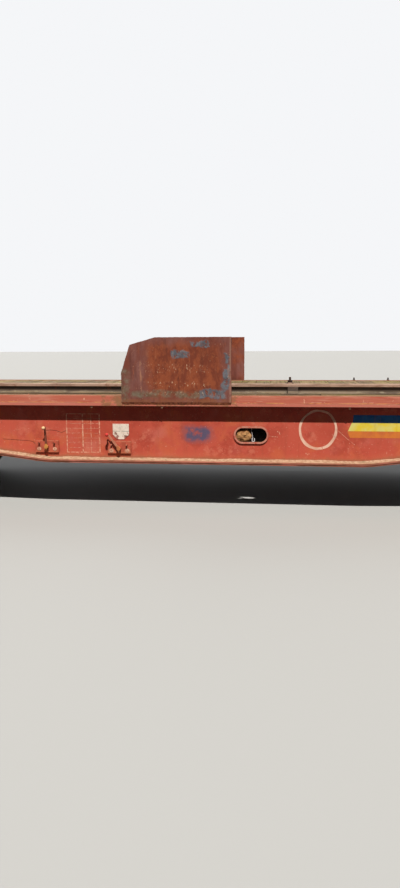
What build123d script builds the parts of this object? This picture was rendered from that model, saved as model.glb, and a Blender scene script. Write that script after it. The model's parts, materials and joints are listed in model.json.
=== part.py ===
from build123d import *
from math import radians, tan
import os

# Four-axle bogie flat wagon with a fish-bellied sill, a deck-edge beam and an open steel container.
# Millimetres. +X runs along the wagon, +Z is up, the container's open side view is from -Y.
# z = 0 is at the lowest point of the wheel flanges, so the rail's top lies one flange height above it.

# Whole wagon
flange_height = 30
deck_height = 1250
wagon_width = 2800
body_length = 12800
buffer_reach = 620
pivot_distance = 9000
wheelbase = 1800

rail_z = flange_height
deck_z = rail_z + deck_height
half_width = wagon_width / 2
half_body = body_length / 2
pivot_x = pivot_distance / 2

# Side sill: channel-like top member, set-back web, fish-bellied bottom chord
member_height = 116
member_plate = 10
member_lip_height = 34
member_lip = 4
web_setback = 110
web_plate = 10
sill_depth_middle = 750
sill_depth_end = 420
belly_flat = 1795
belly_slope = 7.2
belly_radius = 1400
chord_overhang_out = 90
chord_overhang_in = 70
chord_plate = 20
doubler_plate = 18
doubler_inset = 6
doubler_run_out = 1500

web_y = half_width - web_setback
web_inner_y = web_y - web_plate
chord_out_y = web_y + chord_overhang_out
chord_in_y = web_inner_y - chord_overhang_in
belly_z = deck_z - sill_depth_middle
end_z = deck_z - sill_depth_end

# Oblong hand opening in the web
opening_x = 525
opening_depth_below_deck = 441
opening_length = 345
opening_height = 156
opening_rim = 19
opening_rim_reach = 15
window_plate_length = 1050

# Headstocks
headstock_plate = 12
headstock_flange = 90
headstock_corner = 60
hook_hole_width = 110
hook_hole_height = 150
buffer_height = 1060
buffer_spacing = 1750
buffer_z = rail_z + buffer_height
buffer_y = buffer_spacing / 2
headstock_inner_x = half_body - headstock_plate

# Floor frame
plank_thickness = 55
plank_width = 192
plank_gap = 8
plank_end_gap = 5
edge_board_width = 235
edge_board_count = 5
ledge_width = 70
ledge_plate = 8
floor_z = deck_z - plank_thickness
center_sill_depth = 240
center_sill_y = 250
center_sill_flange = 75
center_sill_plate = 12
stringer_height = 60
stringer_width = 60
stringer_plate = 6
stringer_rows = [500, 1000]
bearer_plate = 10
bearer_flange = 100
bearer_flange_plate = 12
bearer_knee = 150
bearer_fall = 90
bearer_foot = 20
bearer_foot_gap = 12
bearer_flange_inset = 10
end_bearer_knee = 60
bearer_rows = [0, 1200, 2400, 3300, 5700]
bearer_end_depth = 130
end_bearer_from = 3000
stringer_z = floor_z - stringer_height
center_sill_z = floor_z - center_sill_depth

# Body bolster and pivot
bolster_width = 340
bolster_plate = 14
bolster_web_inset = 15
bolster_end_depth = 165
bolster_taper_from = 980
pivot_radius = 140
pivot_drop = 35
pivot_pin_radius = 26
pivot_pin_drop = 85
side_bearing_y = 850
side_bearing_length = 300
side_bearing_width = 110
side_bearing_drop = 19
bolster_z = center_sill_z

# Air pipe along the wagon
pipe_y = -420
pipe_z = floor_z - 130
pipe_radius = 17
pipe_hole_clearance = 0.3
cock_drop = 110

# Bogie
wheel_radius = 460
back_to_back = 1360
wheel_width = 135
rim_radius = 392
hub_radius = 118
hub_overhang_in = 12
hub_overhang_out = 34
wheel_seat_radius = 94
seal_radius = 80
axle_radius = 82
journal_y = 1000
journal_radius = 65
journal_length = 180
journal_clearance = 0.8
axle_z = rail_z + wheel_radius
axle_x = wheelbase / 2
frame_top_z = 840
frame_width = 100
frame_flange_width = 120
frame_plate = 14
frame_half_length = 1250
frame_arch_depth = 140
frame_waist_depth = 270
frame_waist_half = 420
spring_offset = 225
spring_radius = 78
spring_wire = 30
spring_turns = 5
spring_pad = 16
spring_seat_drop = 60
box_half_width = 112
box_depth_y = 190
horn_plate = 20
horn_gap = 6
horn_drop = 240
transom_half = 165
transom_depth = 215
bowl_radius = 172
bowl_clearance = 5
bowl_rim = 12
bowl_floor = 20
bearing_gap = 0.5
block_thickness = 55
block_width = 80
block_height = 330
block_gap = 8
bowl_z = bolster_z - pivot_drop - bearing_gap - bowl_floor

# Open steel container that stands across the deck
cheek_plate = 8
cheek_height = 633
cheek_drop = 74
cheek_right_x = 315
cheek_left_x = -900
cheek_shoulder_height = 245
cheek_corner_x = -800
cheek_corner_height = 552
cheek_corner_radius = 30
cheek_brow_x = -514
cheek_brow_mid_x = -640
cheek_brow_mid_height = 600
cheek_clearance = 1
bin_left_x = -640
bin_right_x = 90
bin_sheet = 6
bin_rim_height = 60
bin_rim_width = 40
bin_rib_width = 60
bin_rib_reach = 35
bin_rib_rows = [-800, -270, 270, 800]
bin_top_gap = 10
beam_clearance = 6

# Deck-edge beam of rail section, and its clamps
beam_inset = 280
beam_y = beam_inset - half_width
beam_height = 115
beam_head = 54
beam_head_depth = 33
beam_web = 11
beam_foot = 94
beam_foot_edge = 9
beam_foot_rise = 9
beam_end_inset = 40
clamp_rows = [-5000, -3000, 976, 3000, 5000]
clamp_length = 112
clamp_base_length = 250
clamp_base_plate = 8
clamp_base_reach = 62
clamp_bolt_radius = 9
clamp_bolt_rise = 48


# One row per lever unit: housing x0, x1, z0, z1 over the rail, shaft x, z, knob x, z
lever_rows = [
    (-1943, -1668, 587, 724, -1806, 655, -1813, 875),
    (-1096, -829, 585, 726, -962, 644, -1083, 807),
]
lever_housing = 20
lever_hub_radius = 22
lever_arm_reach = 56
lever_arm_plate = 10
lever_root_half = 13
lever_tip_half = 9
knob_reach = 98
knob_radius = 20
knob_stem_radius = 8
stud_offset = 88
stud_rise = 42
stud_reach = 26
stud_radius = 9
label_offset = 92
label_drop = 28
label_radius = 22
label_plate = 3

# Blank data plate over the second lever: outline rows (x, z over the rail)
data_plate_outline = [
    (-1036, 920), (-1036, 798), (-991, 745), (-910, 745), (-850, 798), (-850, 920),
]
data_plate_thickness = 4

# Small lashing lugs under the top member, by x
lug_rows = [-5500, -4300, -3100, -1246, -450, 1576, 3100, 4300, 5500]
lug_height = 24
lug_width = 16
lug_length = 34

# Buffers
buffer_base = 20
buffer_base_width = 360
buffer_base_height = 320
buffer_case_radius = 102
buffer_case_length = 330
buffer_plunger_radius = 78
buffer_head_width = 450
buffer_head_height = 340
buffer_head_plate = 26
buffer_head_radius = 1500
buffer_clearance = 0.3
buffer_case_floor = 40
buffer_collar = 40
buffer_rib_length = 120
buffer_rib_height = 150

# Draw hook: its side view is rows (x from the headstock, z from the hook's middle, radius)
hook_shank = 50
hook_shank_height = 80
hook_shank_back = 180
hook_plate = 18
hook_plate_width = 200
hook_plate_height = 230
hook_guide_clearance = 0.3
hook_thickness = 48
hook_outline = [
    (100, -40), (190, -62, 25), (282, -45, 40), (300, 30, 20), (270, 92, 10), (238, 84, 6), (236, 44), (172, 44),
    (164, 74, 6), (130, 64, 10), (100, 40),
]
hook_throat_x = 204
hook_throat_z = 38
hook_throat_radius = 36
hook_eye_x = 120
hook_eye_drop = 12

# Screw coupling, which hangs from the hook's eye
coupling_pin_radius = 21
coupling_pin_clearance = 0.3
coupling_link_drop = 210
coupling_link_y = 48
coupling_link_plate = 18
coupling_nut_radius = 24
coupling_screw_length = 190
coupling_screw_tail = 40
coupling_screw_radius = 19
coupling_handle = 75
shackle_drop = 190
shackle_half = 66
shackle_radius = 16

# Shunter's steps and handrails at the corners
step_inset = 170
step_x = half_body - step_inset
step_width = 300
step_depth = 200
step_z = 430
grab_rise = 40
grab_half = 165
grab_reach = 90
grab_radius = 13

# Brake gear under the floor
cylinder_x = -1830
cylinder_y = 600
cylinder_radius = 178
cylinder_length = 420
cylinder_flange = 24
cylinder_flange_plate = 18
piston_tube_radius = 34
reservoir_x = 600
reservoir_y = -640
reservoir_z = 760
reservoir_radius = 160
reservoir_length = 900
reservoir_dish = 70
strap_inset = 200
strap_half = 20
tank_z = 905
bracket_half = 110
bracket_plate = 14
valve_x = 620
valve_y = 560
valve_foot = 20
valve_neck = 70
valve_height = 240
valve_radius = 92
valve_cap = 20
valve_port_reach = 170
valve_port_radius = 52
lever_x = -1350
rod_end_x = 2950
lever_plate = 16
piston_rod_length = 210
pull_radius = 18
pull_a_y = 40
pull_b_y = -20
pull_hanger_rows = [1200, 2400, -2400]


def profile(points):
    # A closed outline from rows (u, v) or (u, v, corner radius).
    face = make_face(Polyline(*[(row[0], row[1]) for row in points], close=True))
    for row in points:
        if len(row) == 3:
            corner = face.vertices().sort_by_distance((row[0], row[1], 0))[0]
            face = fillet(corner, row[2])
    return face


def along_x(face, x0, x1):
    # The outline's u is Y and its v is Z.
    return extrude(Plane.YZ.offset(x0) * face, x1 - x0)


def along_y(face, y0, y1):
    # The outline's u is X and its v is Z.
    return extrude(Plane.XZ.offset(-y1) * face, y1 - y0)


def along_z(face, z0, z1):
    return extrude(Plane.XY.offset(z0) * face, z1 - z0)


def block(x0, x1, y0, y1, z0, z1):
    return Pos((x0 + x1) / 2, (y0 + y1) / 2, (z0 + z1) / 2) * Box(x1 - x0, y1 - y0, z1 - z0)


def rod(start, end, radius):
    line = Vector(*end) - Vector(*start)
    return extrude(Plane(origin=start, z_dir=line) * Circle(radius), line.length)


def turned(shape):
    # The same thing on the other side and at the other end of the wagon.
    return Rot(0, 0, 180) * shape


def across(shape):
    return mirror(shape, about=Plane.XZ)


def endwise(shape):
    return mirror(shape, about=Plane.YZ)


def save(name, shapes):
    solids = []
    for shape in shapes:
        solids.extend(shape.solids())
    export_step(Compound(solids), f"parts/{name}.step")


def belly_rise_end():
    return belly_flat + (end_z - belly_z) / tan(radians(belly_slope))


def belly_line(lift):
    # The fish belly's lower line, raised by lift: rows (x, z, radius) from -X to +X.
    end_x = belly_rise_end()
    return [
        (-end_x, end_z + lift, belly_radius),
        (-belly_flat, belly_z + lift, belly_radius),
        (belly_flat, belly_z + lift, belly_radius),
        (end_x, end_z + lift, belly_radius),
    ]


def side_sill():
    x1 = headstock_inner_x
    web_outline = [(-x1, deck_z - member_plate), (-x1, end_z + chord_plate)]
    web_outline += belly_line(chord_plate)
    web_outline += [(x1, end_z + chord_plate), (x1, deck_z - member_plate)]
    web = along_y(profile(web_outline), -web_y, -web_inner_y)

    chord_outline = [(-x1, end_z + chord_plate), (-x1, end_z)] + belly_line(0)
    chord_outline += [(x1, end_z), (x1, end_z + chord_plate)] + belly_line(chord_plate)[::-1]
    chord = along_y(profile(chord_outline), -chord_out_y, -chord_in_y)

    # The doubler follows the chord's underside and ends on each slope.
    end_x = belly_flat + doubler_run_out
    rise = doubler_run_out * tan(radians(belly_slope))
    doubler_z = belly_z - doubler_plate
    doubler_outline = [
        (-end_x, belly_z + rise), (-end_x, doubler_z + rise),
        (-belly_flat, doubler_z, belly_radius), (belly_flat, doubler_z, belly_radius),
        (end_x, doubler_z + rise), (end_x, belly_z + rise),
        (belly_flat, belly_z, belly_radius), (-belly_flat, belly_z, belly_radius),
    ]
    doubler = along_y(profile(doubler_outline), -chord_out_y + doubler_inset, -chord_in_y - doubler_inset)

    # Channel-like top member: rows are (y, z) of its section, open towards the web.
    out = -half_width
    low = deck_z - member_height
    member_section = [
        (out, deck_z, 6), (out, low + member_lip_height), (out - member_lip, low + member_lip_height - 3),
        (out - member_lip, low), (-web_y, low), (-web_y, low + member_plate),
        (out + member_plate, low + member_plate), (out + member_plate, deck_z - member_plate),
        (-web_inner_y + ledge_plate, deck_z - member_plate), (-web_inner_y + ledge_plate, deck_z),
    ]
    member = along_x(profile(member_section), -x1, x1)
    ledge_y = -web_inner_y
    ledge = block(-x1, x1, ledge_y, ledge_y + ledge_width, floor_z - ledge_plate, floor_z)

    rim_z = deck_z - opening_depth_below_deck
    hole = Pos(opening_x, rim_z, 0) * SlotOverall(opening_length, opening_height)
    rim = Pos(opening_x, rim_z, 0) * SlotOverall(opening_length + 2 * opening_rim, opening_height + 2 * opening_rim)
    collar = along_y(rim - hole, -web_y - opening_rim_reach, -web_inner_y)

    # The web is welded up from plates, which meet at the kinks and beside the opening.
    rise_x = belly_rise_end()
    window_x0 = opening_x - window_plate_length / 2
    window_x1 = opening_x + window_plate_length / 2
    seams = [-x1, -rise_x, -belly_flat, window_x0, window_x1, belly_flat, rise_x, x1]
    plates = [
        web & block(a, b, -web_y, -web_inner_y, belly_z, deck_z) for a, b in zip(seams, seams[1:])
    ]
    window = plates.pop(3) - along_y(rim, -web_y, -web_inner_y) + collar
    # The chord and its doubler are lengths of flat bar, which meet at the kinks.
    bar_seams = [-x1, -rise_x, -belly_flat, belly_flat, rise_x, x1]
    for a, b in zip(bar_seams, bar_seams[1:]):
        length = block(a, b, -chord_out_y, -chord_in_y, doubler_z, deck_z)
        plates += (chord & length).solids() + (doubler & length).solids()
    return plates + [member, ledge], window


def bearer_positions():
    rows = []
    for x in bearer_rows:
        rows.append(x)
        if x > 0:
            rows.append(-x)
    return rows


def sill_low_at(x):
    # Top of the bottom chord under a given x.
    run = max(0, abs(x) - belly_flat)
    return min(end_z, belly_z + run * tan(radians(belly_slope))) + chord_plate


def cross_bearer(x):
    # From the centre sill to the +Y side sill: the bearer and the knee plate at its end.
    top = stringer_z
    inner = center_sill_y + center_sill_plate
    outer = web_inner_y
    step = outer - ledge_width
    ledge = floor_z - ledge_plate
    foot = sill_low_at(abs(x) + bearer_plate) + bearer_foot_gap
    if abs(x) > end_bearer_from:
        low = top - bearer_end_depth
        neck = outer - end_bearer_knee
        neck_low = low
        outline = [(inner, low), (neck, low), (neck, ledge), (step, ledge), (step, top), (inner, top)]
        knee = [(neck, low), (outer - bearer_foot, foot), (outer, foot), (outer, ledge), (neck, ledge)]
    else:
        low = center_sill_z
        neck = outer - bearer_knee
        neck_low = low - bearer_fall
        outline = [(inner, low), (neck, neck_low), (neck, top), (inner, top)]
        knee = [
            (neck, neck_low), (outer - bearer_foot - bearer_fall * 2 / 3, foot + bearer_fall * 2 / 3),
            (outer - bearer_foot, foot), (outer, foot), (outer, ledge), (step, ledge), (step, top), (neck, top),
        ]
    half = bearer_plate / 2
    bearer = along_x(profile(outline), x - half, x + half)
    knee_plate = along_x(profile(knee), x - half, x + half)
    flange_end = neck - bearer_flange_inset
    drop = (low - neck_low) * (flange_end - inner) / (neck - inner)
    strip = [
        (inner, low), (inner, low - bearer_flange_plate), (flange_end, low - drop - bearer_flange_plate),
        (flange_end, low - drop),
    ]
    flange = along_x(profile(strip), x - bearer_flange / 2, x + bearer_flange / 2)
    return bearer + flange, knee_plate


def pipe_passage(x0, x1):
    return rod((x0, pipe_y, pipe_z), (x1, pipe_y, pipe_z), pipe_radius + pipe_hole_clearance)


def floor_frame():
    bearers = []
    for x in bearer_positions():
        bearer, knee = cross_bearer(x)
        near = across(bearer) - pipe_passage(x - bearer_flange, x + bearer_flange)
        tie = block(
            x - bearer_plate / 2, x + bearer_plate / 2, -center_sill_y, center_sill_y,
            center_sill_z + center_sill_plate, floor_z - center_sill_plate,
        )
        bearers += [bearer, knee, near, across(knee), tie]
    return bearers


def spans():
    # Lengths of the wagon between headstocks and bolsters: rows (x0, x1).
    half = bolster_width / 2
    return [
        (-headstock_inner_x, -pivot_x - half),
        (-pivot_x + half, pivot_x - half),
        (pivot_x + half, headstock_inner_x),
    ]


def center_sill():
    y = center_sill_y
    t = center_sill_plate
    z0 = center_sill_z
    z1 = floor_z
    section = [
        (y + t, z0), (y + t, z1), (y - center_sill_flange, z1), (y - center_sill_flange, z1 - t),
        (y, z1 - t), (y, z0 + t), (y - center_sill_flange, z0 + t), (y - center_sill_flange, z0),
    ]
    rails = []
    for x0, x1 in spans():
        rail = along_x(profile(section), x0, x1)
        rails += [rail, across(rail)]
    return rails


def stringers():
    rails = []
    h = stringer_height
    w = stringer_width
    t = stringer_plate
    for y in stringer_rows:
        section = [
            (y, stringer_z), (y + w, stringer_z), (y + w, stringer_z + t), (y + t, stringer_z + t),
            (y + t, stringer_z + h - t), (y + w, stringer_z + h - t), (y + w, stringer_z + h), (y, stringer_z + h),
        ]
        for x0, x1 in spans():
            rail = along_x(profile(section), x0, x1)
            rails += [rail, across(rail)]
    return rails


def body_bolster():
    half = bolster_width / 2
    t = bolster_plate
    end_low = floor_z - bolster_end_depth
    y1 = web_inner_y
    y0 = bolster_taper_from
    lower = [(-y1, end_low), (-y0, bolster_z), (y0, bolster_z), (y1, end_low)]
    web_outline = [(row[0], row[1] + t) for row in lower]
    web_outline += [(y1, floor_z - ledge_plate), (y1 - ledge_width, floor_z - ledge_plate)]
    web_outline += [(y1 - ledge_width, floor_z - t), (-y1 + ledge_width, floor_z - t)]
    web_outline += [(-y1 + ledge_width, floor_z - ledge_plate), (-y1, floor_z - ledge_plate)]
    web = profile(web_outline)
    webs = [
        along_x(web, -half + bolster_web_inset, -half + bolster_web_inset + t),
        along_x(web, half - bolster_web_inset - t, half - bolster_web_inset),
    ]
    strip = lower + [(row[0], row[1] + t) for row in lower[::-1]]
    bottom = along_x(profile(strip), -half, half)
    top = block(-half, half, -y1 + ledge_width, y1 - ledge_width, floor_z - t, floor_z)
    pivot = rod((0, 0, bolster_z), (0, 0, bolster_z - pivot_drop), pivot_radius)
    pin = rod((0, 0, bolster_z), (0, 0, bolster_z - pivot_pin_drop), pivot_pin_radius)
    plates = webs + [bottom, top, pivot + pin]
    for side in (-1, 1):
        y = side * side_bearing_y
        plates.append(block(
            -side_bearing_length / 2, side_bearing_length / 2,
            y - side_bearing_width / 2, y + side_bearing_width / 2,
            bolster_z - side_bearing_drop, bolster_z,
        ))
    return plates


def headstock():
    # At the +X end.
    top = deck_z
    low = end_z
    corner = headstock_corner
    w = half_width
    face_outline = [
        (-w, top), (-w, low + corner), (-w + corner, low), (w - corner, low), (w, low + corner), (w, top),
    ]
    hook = Pos(0, buffer_z, 0) * Rectangle(hook_hole_width, hook_hole_height)
    plate = along_x(profile(face_outline) - hook, headstock_inner_x, half_body)
    x0 = headstock_inner_x - headstock_flange
    y1 = web_inner_y
    t = headstock_plate
    # The flanges stop at the long members that they meet.
    lower = block(x0, headstock_inner_x, -chord_in_y, chord_in_y, low, low + t)
    plates = [plate, lower]
    for side in (-1, 1):
        y0 = side * (buffer_y - 20)
        plates.append(block(x0, headstock_inner_x, y0 - t / 2, y0 + t / 2, low + t, stringer_z - 1))
    return plates


def deck_planks():
    planks = []
    # As many crosswise planks as fit, spread evenly between the headstocks.
    count = int(2 * headstock_inner_x / (plank_width + plank_gap))
    pitch = 2 * headstock_inner_x / count
    y1 = web_inner_y - ledge_plate - plank_end_gap
    y0 = -y1 + edge_board_width
    for row in range(count):
        x = -headstock_inner_x + row * pitch + plank_gap / 2
        planks.append(block(x, x + pitch - plank_gap, y0 + plank_gap, y1, floor_z, deck_z))
    # Lengthwise boards under the beam.
    pitch = 2 * headstock_inner_x / edge_board_count
    for row in range(edge_board_count):
        x = -headstock_inner_x + row * pitch + plank_gap / 2
        planks.append(block(x, x + pitch - plank_gap, -y1, y0, floor_z, deck_z))
    return planks


def beam_section():
    # Rail section, rows (y, z, radius) about the beam's own middle line.
    head = beam_head / 2
    web = beam_web / 2
    foot = beam_foot / 2
    under = beam_height - beam_head_depth
    right = [
        (foot, 0), (foot, beam_foot_edge), (web + 8, beam_foot_edge + beam_foot_rise),
        (web, beam_foot_edge + 2 * beam_foot_rise), (web, under - 8), (head, under), (head, beam_height, 9),
    ]
    left = [(-row[0],) + row[1:] for row in right[::-1]]
    return profile(right + left)


def deck_edge_beam():
    x1 = half_body - beam_end_inset
    return [along_x(Pos(beam_y, deck_z, 0) * beam_section(), -x1, x1)]


def beam_clamps():
    clamps = []
    for x in clamp_rows:
        outer = beam_y - beam_foot / 2
        gap = 0.3
        # Side block over the foot, against the web and under the head: rows (y, z).
        head_y = beam_y - beam_head / 2
        web_y_face = beam_y - beam_web / 2 - gap
        foot_z = deck_z + beam_foot_edge
        under_z = deck_z + beam_height - beam_head_depth
        section = [
            (outer - clamp_base_reach, deck_z), (outer - gap, deck_z), (outer - gap, foot_z + gap),
            (beam_y - beam_web / 2 - 8, foot_z + beam_foot_rise + gap + 1),
            (web_y_face, foot_z + 2 * beam_foot_rise + 2), (web_y_face, under_z - 9), (head_y - 14, under_z - 3),
            (outer - 8, deck_z + 26), (outer - clamp_base_reach, deck_z + 12),
        ]
        half = clamp_length / 2
        body = along_x(profile(section), x - half, x + half)
        base = block(
            x - clamp_base_length / 2, x + clamp_base_length / 2,
            outer - clamp_base_reach, outer - gap, deck_z, deck_z + clamp_base_plate,
        )
        bolt_x = x - half + 25
        inner = beam_y + beam_foot / 2 + clamp_bolt_radius + 1
        bolt = rod((bolt_x, inner, deck_z), (bolt_x, inner, deck_z + beam_height + clamp_bolt_rise), clamp_bolt_radius)
        nut = along_z(Pos(bolt_x, inner) * RegularPolygon(18, 6), deck_z + beam_height, deck_z + beam_height + 16)
        tongue = block(
            bolt_x - 22, bolt_x + 22, beam_y - 12, inner + 20,
            deck_z + beam_height + gap, deck_z + beam_height + 9,
        )
        clamps += [body + base, bolt + nut + tongue]
    return clamps


def container_cheek():
    # Near side plate, with a slanting upper corner at -X.
    y0 = -half_width - member_lip - cheek_clearance - cheek_plate
    low = deck_z - cheek_drop
    top = deck_z + cheek_height
    outline = [
        (cheek_right_x, low), (cheek_right_x, top), (cheek_brow_x, top),
        (cheek_brow_mid_x, deck_z + cheek_brow_mid_height),
        (cheek_corner_x, deck_z + cheek_corner_height, cheek_corner_radius),
        (cheek_left_x, deck_z + cheek_shoulder_height), (cheek_left_x, low),
    ]
    return along_y(profile(outline), y0, y0 + cheek_plate)


def container_body():
    x0 = bin_left_x
    x1 = bin_right_x
    y1 = half_width + member_lip + cheek_clearance
    z0 = deck_z
    z1 = deck_z + cheek_height - bin_top_gap
    t = bin_sheet
    # The floor and walls are notched round the deck-edge beam.
    slot_y0 = beam_y - beam_foot / 2 - beam_clearance
    slot_y1 = beam_y + beam_foot / 2 + beam_clearance
    slot_z = deck_z + beam_height + beam_clearance
    notch = [(-y1, z0), (slot_y0, z0), (slot_y0, slot_z), (slot_y1, slot_z), (slot_y1, z0), (y1, z0)]
    floor_outline = notch + [
        (y1, z0 + t), (slot_y1 + t, z0 + t), (slot_y1 + t, slot_z + t), (slot_y0 - t, slot_z + t),
        (slot_y0 - t, z0 + t), (-y1, z0 + t),
    ]
    sheets = [along_x(profile(floor_outline), x0 + t, x1 - t)]
    wall = profile(notch + [(y1, z1), (-y1, z1)])
    sheets += [along_x(wall, x0, x0 + t), along_x(wall, x1 - t, x1)]
    rim_low = z1 - bin_rim_height
    rim_section = [
        (0, rim_low), (bin_rim_width, rim_low), (bin_rim_width, z1), (0, z1), (0, z1 - t), (bin_rim_width - t, z1 - t),
        (bin_rim_width - t, rim_low + t), (0, rim_low + t),
    ]
    rim = along_y(profile(rim_section), -y1, y1)
    rib = block(0, bin_rib_reach, -bin_rib_width / 2, bin_rib_width / 2, z0, rim_low)
    outer = [rim] + [Pos(0, y, 0) * rib for y in bin_rib_rows]
    sheets += [Pos(x1, 0, 0) * shape for shape in outer]
    sheets += [Pos(x0, 0, 0) * endwise(shape) for shape in outer]
    return sheets


def lever_unit(plate_x0, plate_x1, plate_z0, plate_z1, x, z, tip_x, tip_z):
    # A flat housing on the web with a shaft, a lever with a knob on a stem, two stop studs and two round labels.
    y0 = -web_y
    face = y0 - lever_housing
    arm_y0 = y0 - lever_arm_reach
    arm_y1 = arm_y0 + lever_arm_plate
    plate = along_y(
        profile([(plate_x0, plate_z0, 6), (plate_x1, plate_z0, 6), (plate_x1, plate_z1, 6), (plate_x0, plate_z1, 6)]),
        face, y0,
    )
    unit = plate + rod((x, face, z), (x, arm_y0 - 6, z), lever_hub_radius)
    tip = Vector(tip_x, 0, tip_z)
    root = Vector(x, 0, z)
    line = (tip - root).normalized()
    side = Vector(line.Z, 0, -line.X)
    corners = [
        root + side * lever_root_half, root - side * lever_root_half,
        tip + line * lever_tip_half - side * lever_tip_half, tip + line * lever_tip_half + side * lever_tip_half,
    ]
    unit += along_y(profile([(c.X, c.Z) for c in corners]), arm_y0, arm_y1)
    # The hub is pointed at its lower end.
    w = lever_hub_radius + 4
    unit += along_y(profile([(x - w, z), (x, z - 1.7 * w, 4), (x + w, z), (x, z + 1.3 * w)]), arm_y0, arm_y1)
    unit += rod((tip_x, arm_y1, tip_z), (tip_x, y0 - knob_reach, tip_z), knob_stem_radius)
    unit += Pos(tip_x, y0 - knob_reach, tip_z) * Sphere(knob_radius)
    for way in (-1, 1):
        stud_x = x + way * stud_offset
        unit += rod((stud_x, face, z + stud_rise), (stud_x, face - stud_reach, z + stud_rise), stud_radius)
        label_x = x + way * label_offset
        unit += rod((label_x, face, z - label_drop), (label_x, face - label_plate, z - label_drop), label_radius)
    return unit


def levers():
    units = []
    for px0, px1, pz0, pz1, x, z, tip_x, tip_z in lever_rows:
        units.append(lever_unit(
            px0, px1, rail_z + pz0, rail_z + pz1, x, rail_z + z, tip_x, rail_z + tip_z,
        ))
    return units


def lashing_lugs():
    lugs = []
    low = deck_z - member_height
    y = -half_width + 14
    for x in lug_rows:
        lug = along_y(
            profile([(x - lug_length / 2, low), (x - 7, low - lug_height), (x + 7, low - lug_height), (x + lug_length / 2, low)]),
            y - lug_width / 2, y + lug_width / 2,
        )
        lugs.append(lug)
    return lugs


def buffer_case(y):
    x0 = half_body
    x1 = x0 + buffer_case_length
    base = along_x(
        Pos(y, buffer_z, 0) * RectangleRounded(buffer_base_width, buffer_base_height, 20), x0, x0 + buffer_base,
    )
    tube = rod((x0 + buffer_base, y, buffer_z), (x1, y, buffer_z), buffer_case_radius)
    tube += rod((x1 - buffer_collar, y, buffer_z), (x1, y, buffer_z), buffer_case_radius + 14)
    foot_x = buffer_base + buffer_rib_length
    rib = profile([(buffer_base, 0), (buffer_base, buffer_rib_height), (foot_x, buffer_case_radius - 4), (foot_x, 0)])
    web = extrude(Plane.XZ.offset(-6) * rib, 12)
    for angle in (45, 135, 225, 315):
        tube += Pos(x0, y, buffer_z) * Rot(angle, 0, 0) * web
    bore = rod(
        (x0 + buffer_base + buffer_case_floor, y, buffer_z), (x1 + 1, y, buffer_z), buffer_plunger_radius + buffer_clearance,
    )
    return [base, tube - bore]


def buffer_plunger(y):
    x0 = half_body + buffer_base + buffer_case_floor
    face_x = half_body + buffer_reach
    back_x = face_x - buffer_head_plate
    stem = rod((x0, y, buffer_z), (back_x, y, buffer_z), buffer_plunger_radius)
    # The head is a slice of a large ball, cut flat above and below.
    disc = rod((back_x, y, buffer_z), (face_x, y, buffer_z), buffer_head_width / 2)
    ball = Pos(face_x - buffer_head_radius, y, buffer_z) * Sphere(buffer_head_radius)
    limits = block(
        back_x, face_x, y - buffer_head_width, y + buffer_head_width,
        buffer_z - buffer_head_height / 2, buffer_z + buffer_head_height / 2,
    )
    return [stem, (disc & limits) & ball]


def draw_hook():
    x0 = half_body
    z = buffer_z
    half = hook_thickness / 2
    gap = 2 * hook_guide_clearance
    guide_face = Pos(0, z, 0) * RectangleRounded(hook_plate_width, hook_plate_height, 20)
    guide_face -= Pos(0, z, 0) * Rectangle(hook_shank + gap, hook_shank_height + gap)
    guide = along_x(guide_face, x0, x0 + hook_plate)
    shank = block(
        x0 - hook_shank_back, x0 + hook_eye_x, -hook_shank / 2, hook_shank / 2,
        z - hook_shank_height / 2, z + hook_shank_height / 2,
    )
    # The throat is a round cut, open upwards behind the horn.
    outline = [(x0 + row[0], z + row[1]) + row[2:] for row in hook_outline]
    throat_x = x0 + hook_throat_x
    throat_z = z + hook_throat_z
    hook = along_y(profile(outline), -half, half)
    hook -= rod((throat_x, -half, throat_z), (throat_x, half, throat_z), hook_throat_radius)
    eye_x = x0 + hook_eye_x
    eye_z = z - hook_eye_drop
    eye = rod((eye_x, -hook_shank, eye_z), (eye_x, hook_shank, eye_z), coupling_pin_radius + coupling_pin_clearance)
    return [guide, shank + hook - eye]


def screw_coupling():
    # Trunnion pin, two links, screw, nuts, handle and shackle.
    x = half_body + hook_eye_x
    z = buffer_z - hook_eye_drop
    low = z - coupling_link_drop
    nut_z = low - coupling_screw_length
    bow_z = nut_z - shackle_drop
    pin_half = coupling_link_y + coupling_link_plate / 2 + 5
    coupling = rod((x, -pin_half, z), (x, pin_half, z), coupling_pin_radius)
    for side in (-1, 1):
        y = side * coupling_link_y
        link = profile([(x - 26, z + 26, 24), (x + 26, z + 26, 24), (x + 20, low - 24, 18), (x - 20, low - 24, 18)])
        coupling += along_y(link, y - coupling_link_plate / 2, y + coupling_link_plate / 2)
    coupling += rod((x, -pin_half - 12, low), (x, pin_half + 12, low), coupling_nut_radius)
    coupling += rod((x, 0, low), (x, 0, nut_z - coupling_screw_tail), coupling_screw_radius)
    reach = shackle_half + shackle_radius + 4
    coupling += rod((x, -reach, nut_z), (x, reach, nut_z), coupling_nut_radius)
    tail = nut_z - coupling_screw_tail
    coupling += block(x - 8, x + 8, -8, 8, tail - coupling_handle, tail)
    for side in (-1, 1):
        coupling += rod((x, side * shackle_half, nut_z), (x, side * shackle_half, bow_z), shackle_radius)
    bow = Pos(x, 0, bow_z) * (Rot(0, 0, 90) * (Rot(90, 0, 0) * Torus(shackle_half, shackle_radius)))
    lower = block(x - 30, x + 30, -2 * shackle_half, 2 * shackle_half, bow_z - 2 * shackle_half, bow_z)
    return [coupling + (bow & lower)]


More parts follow.
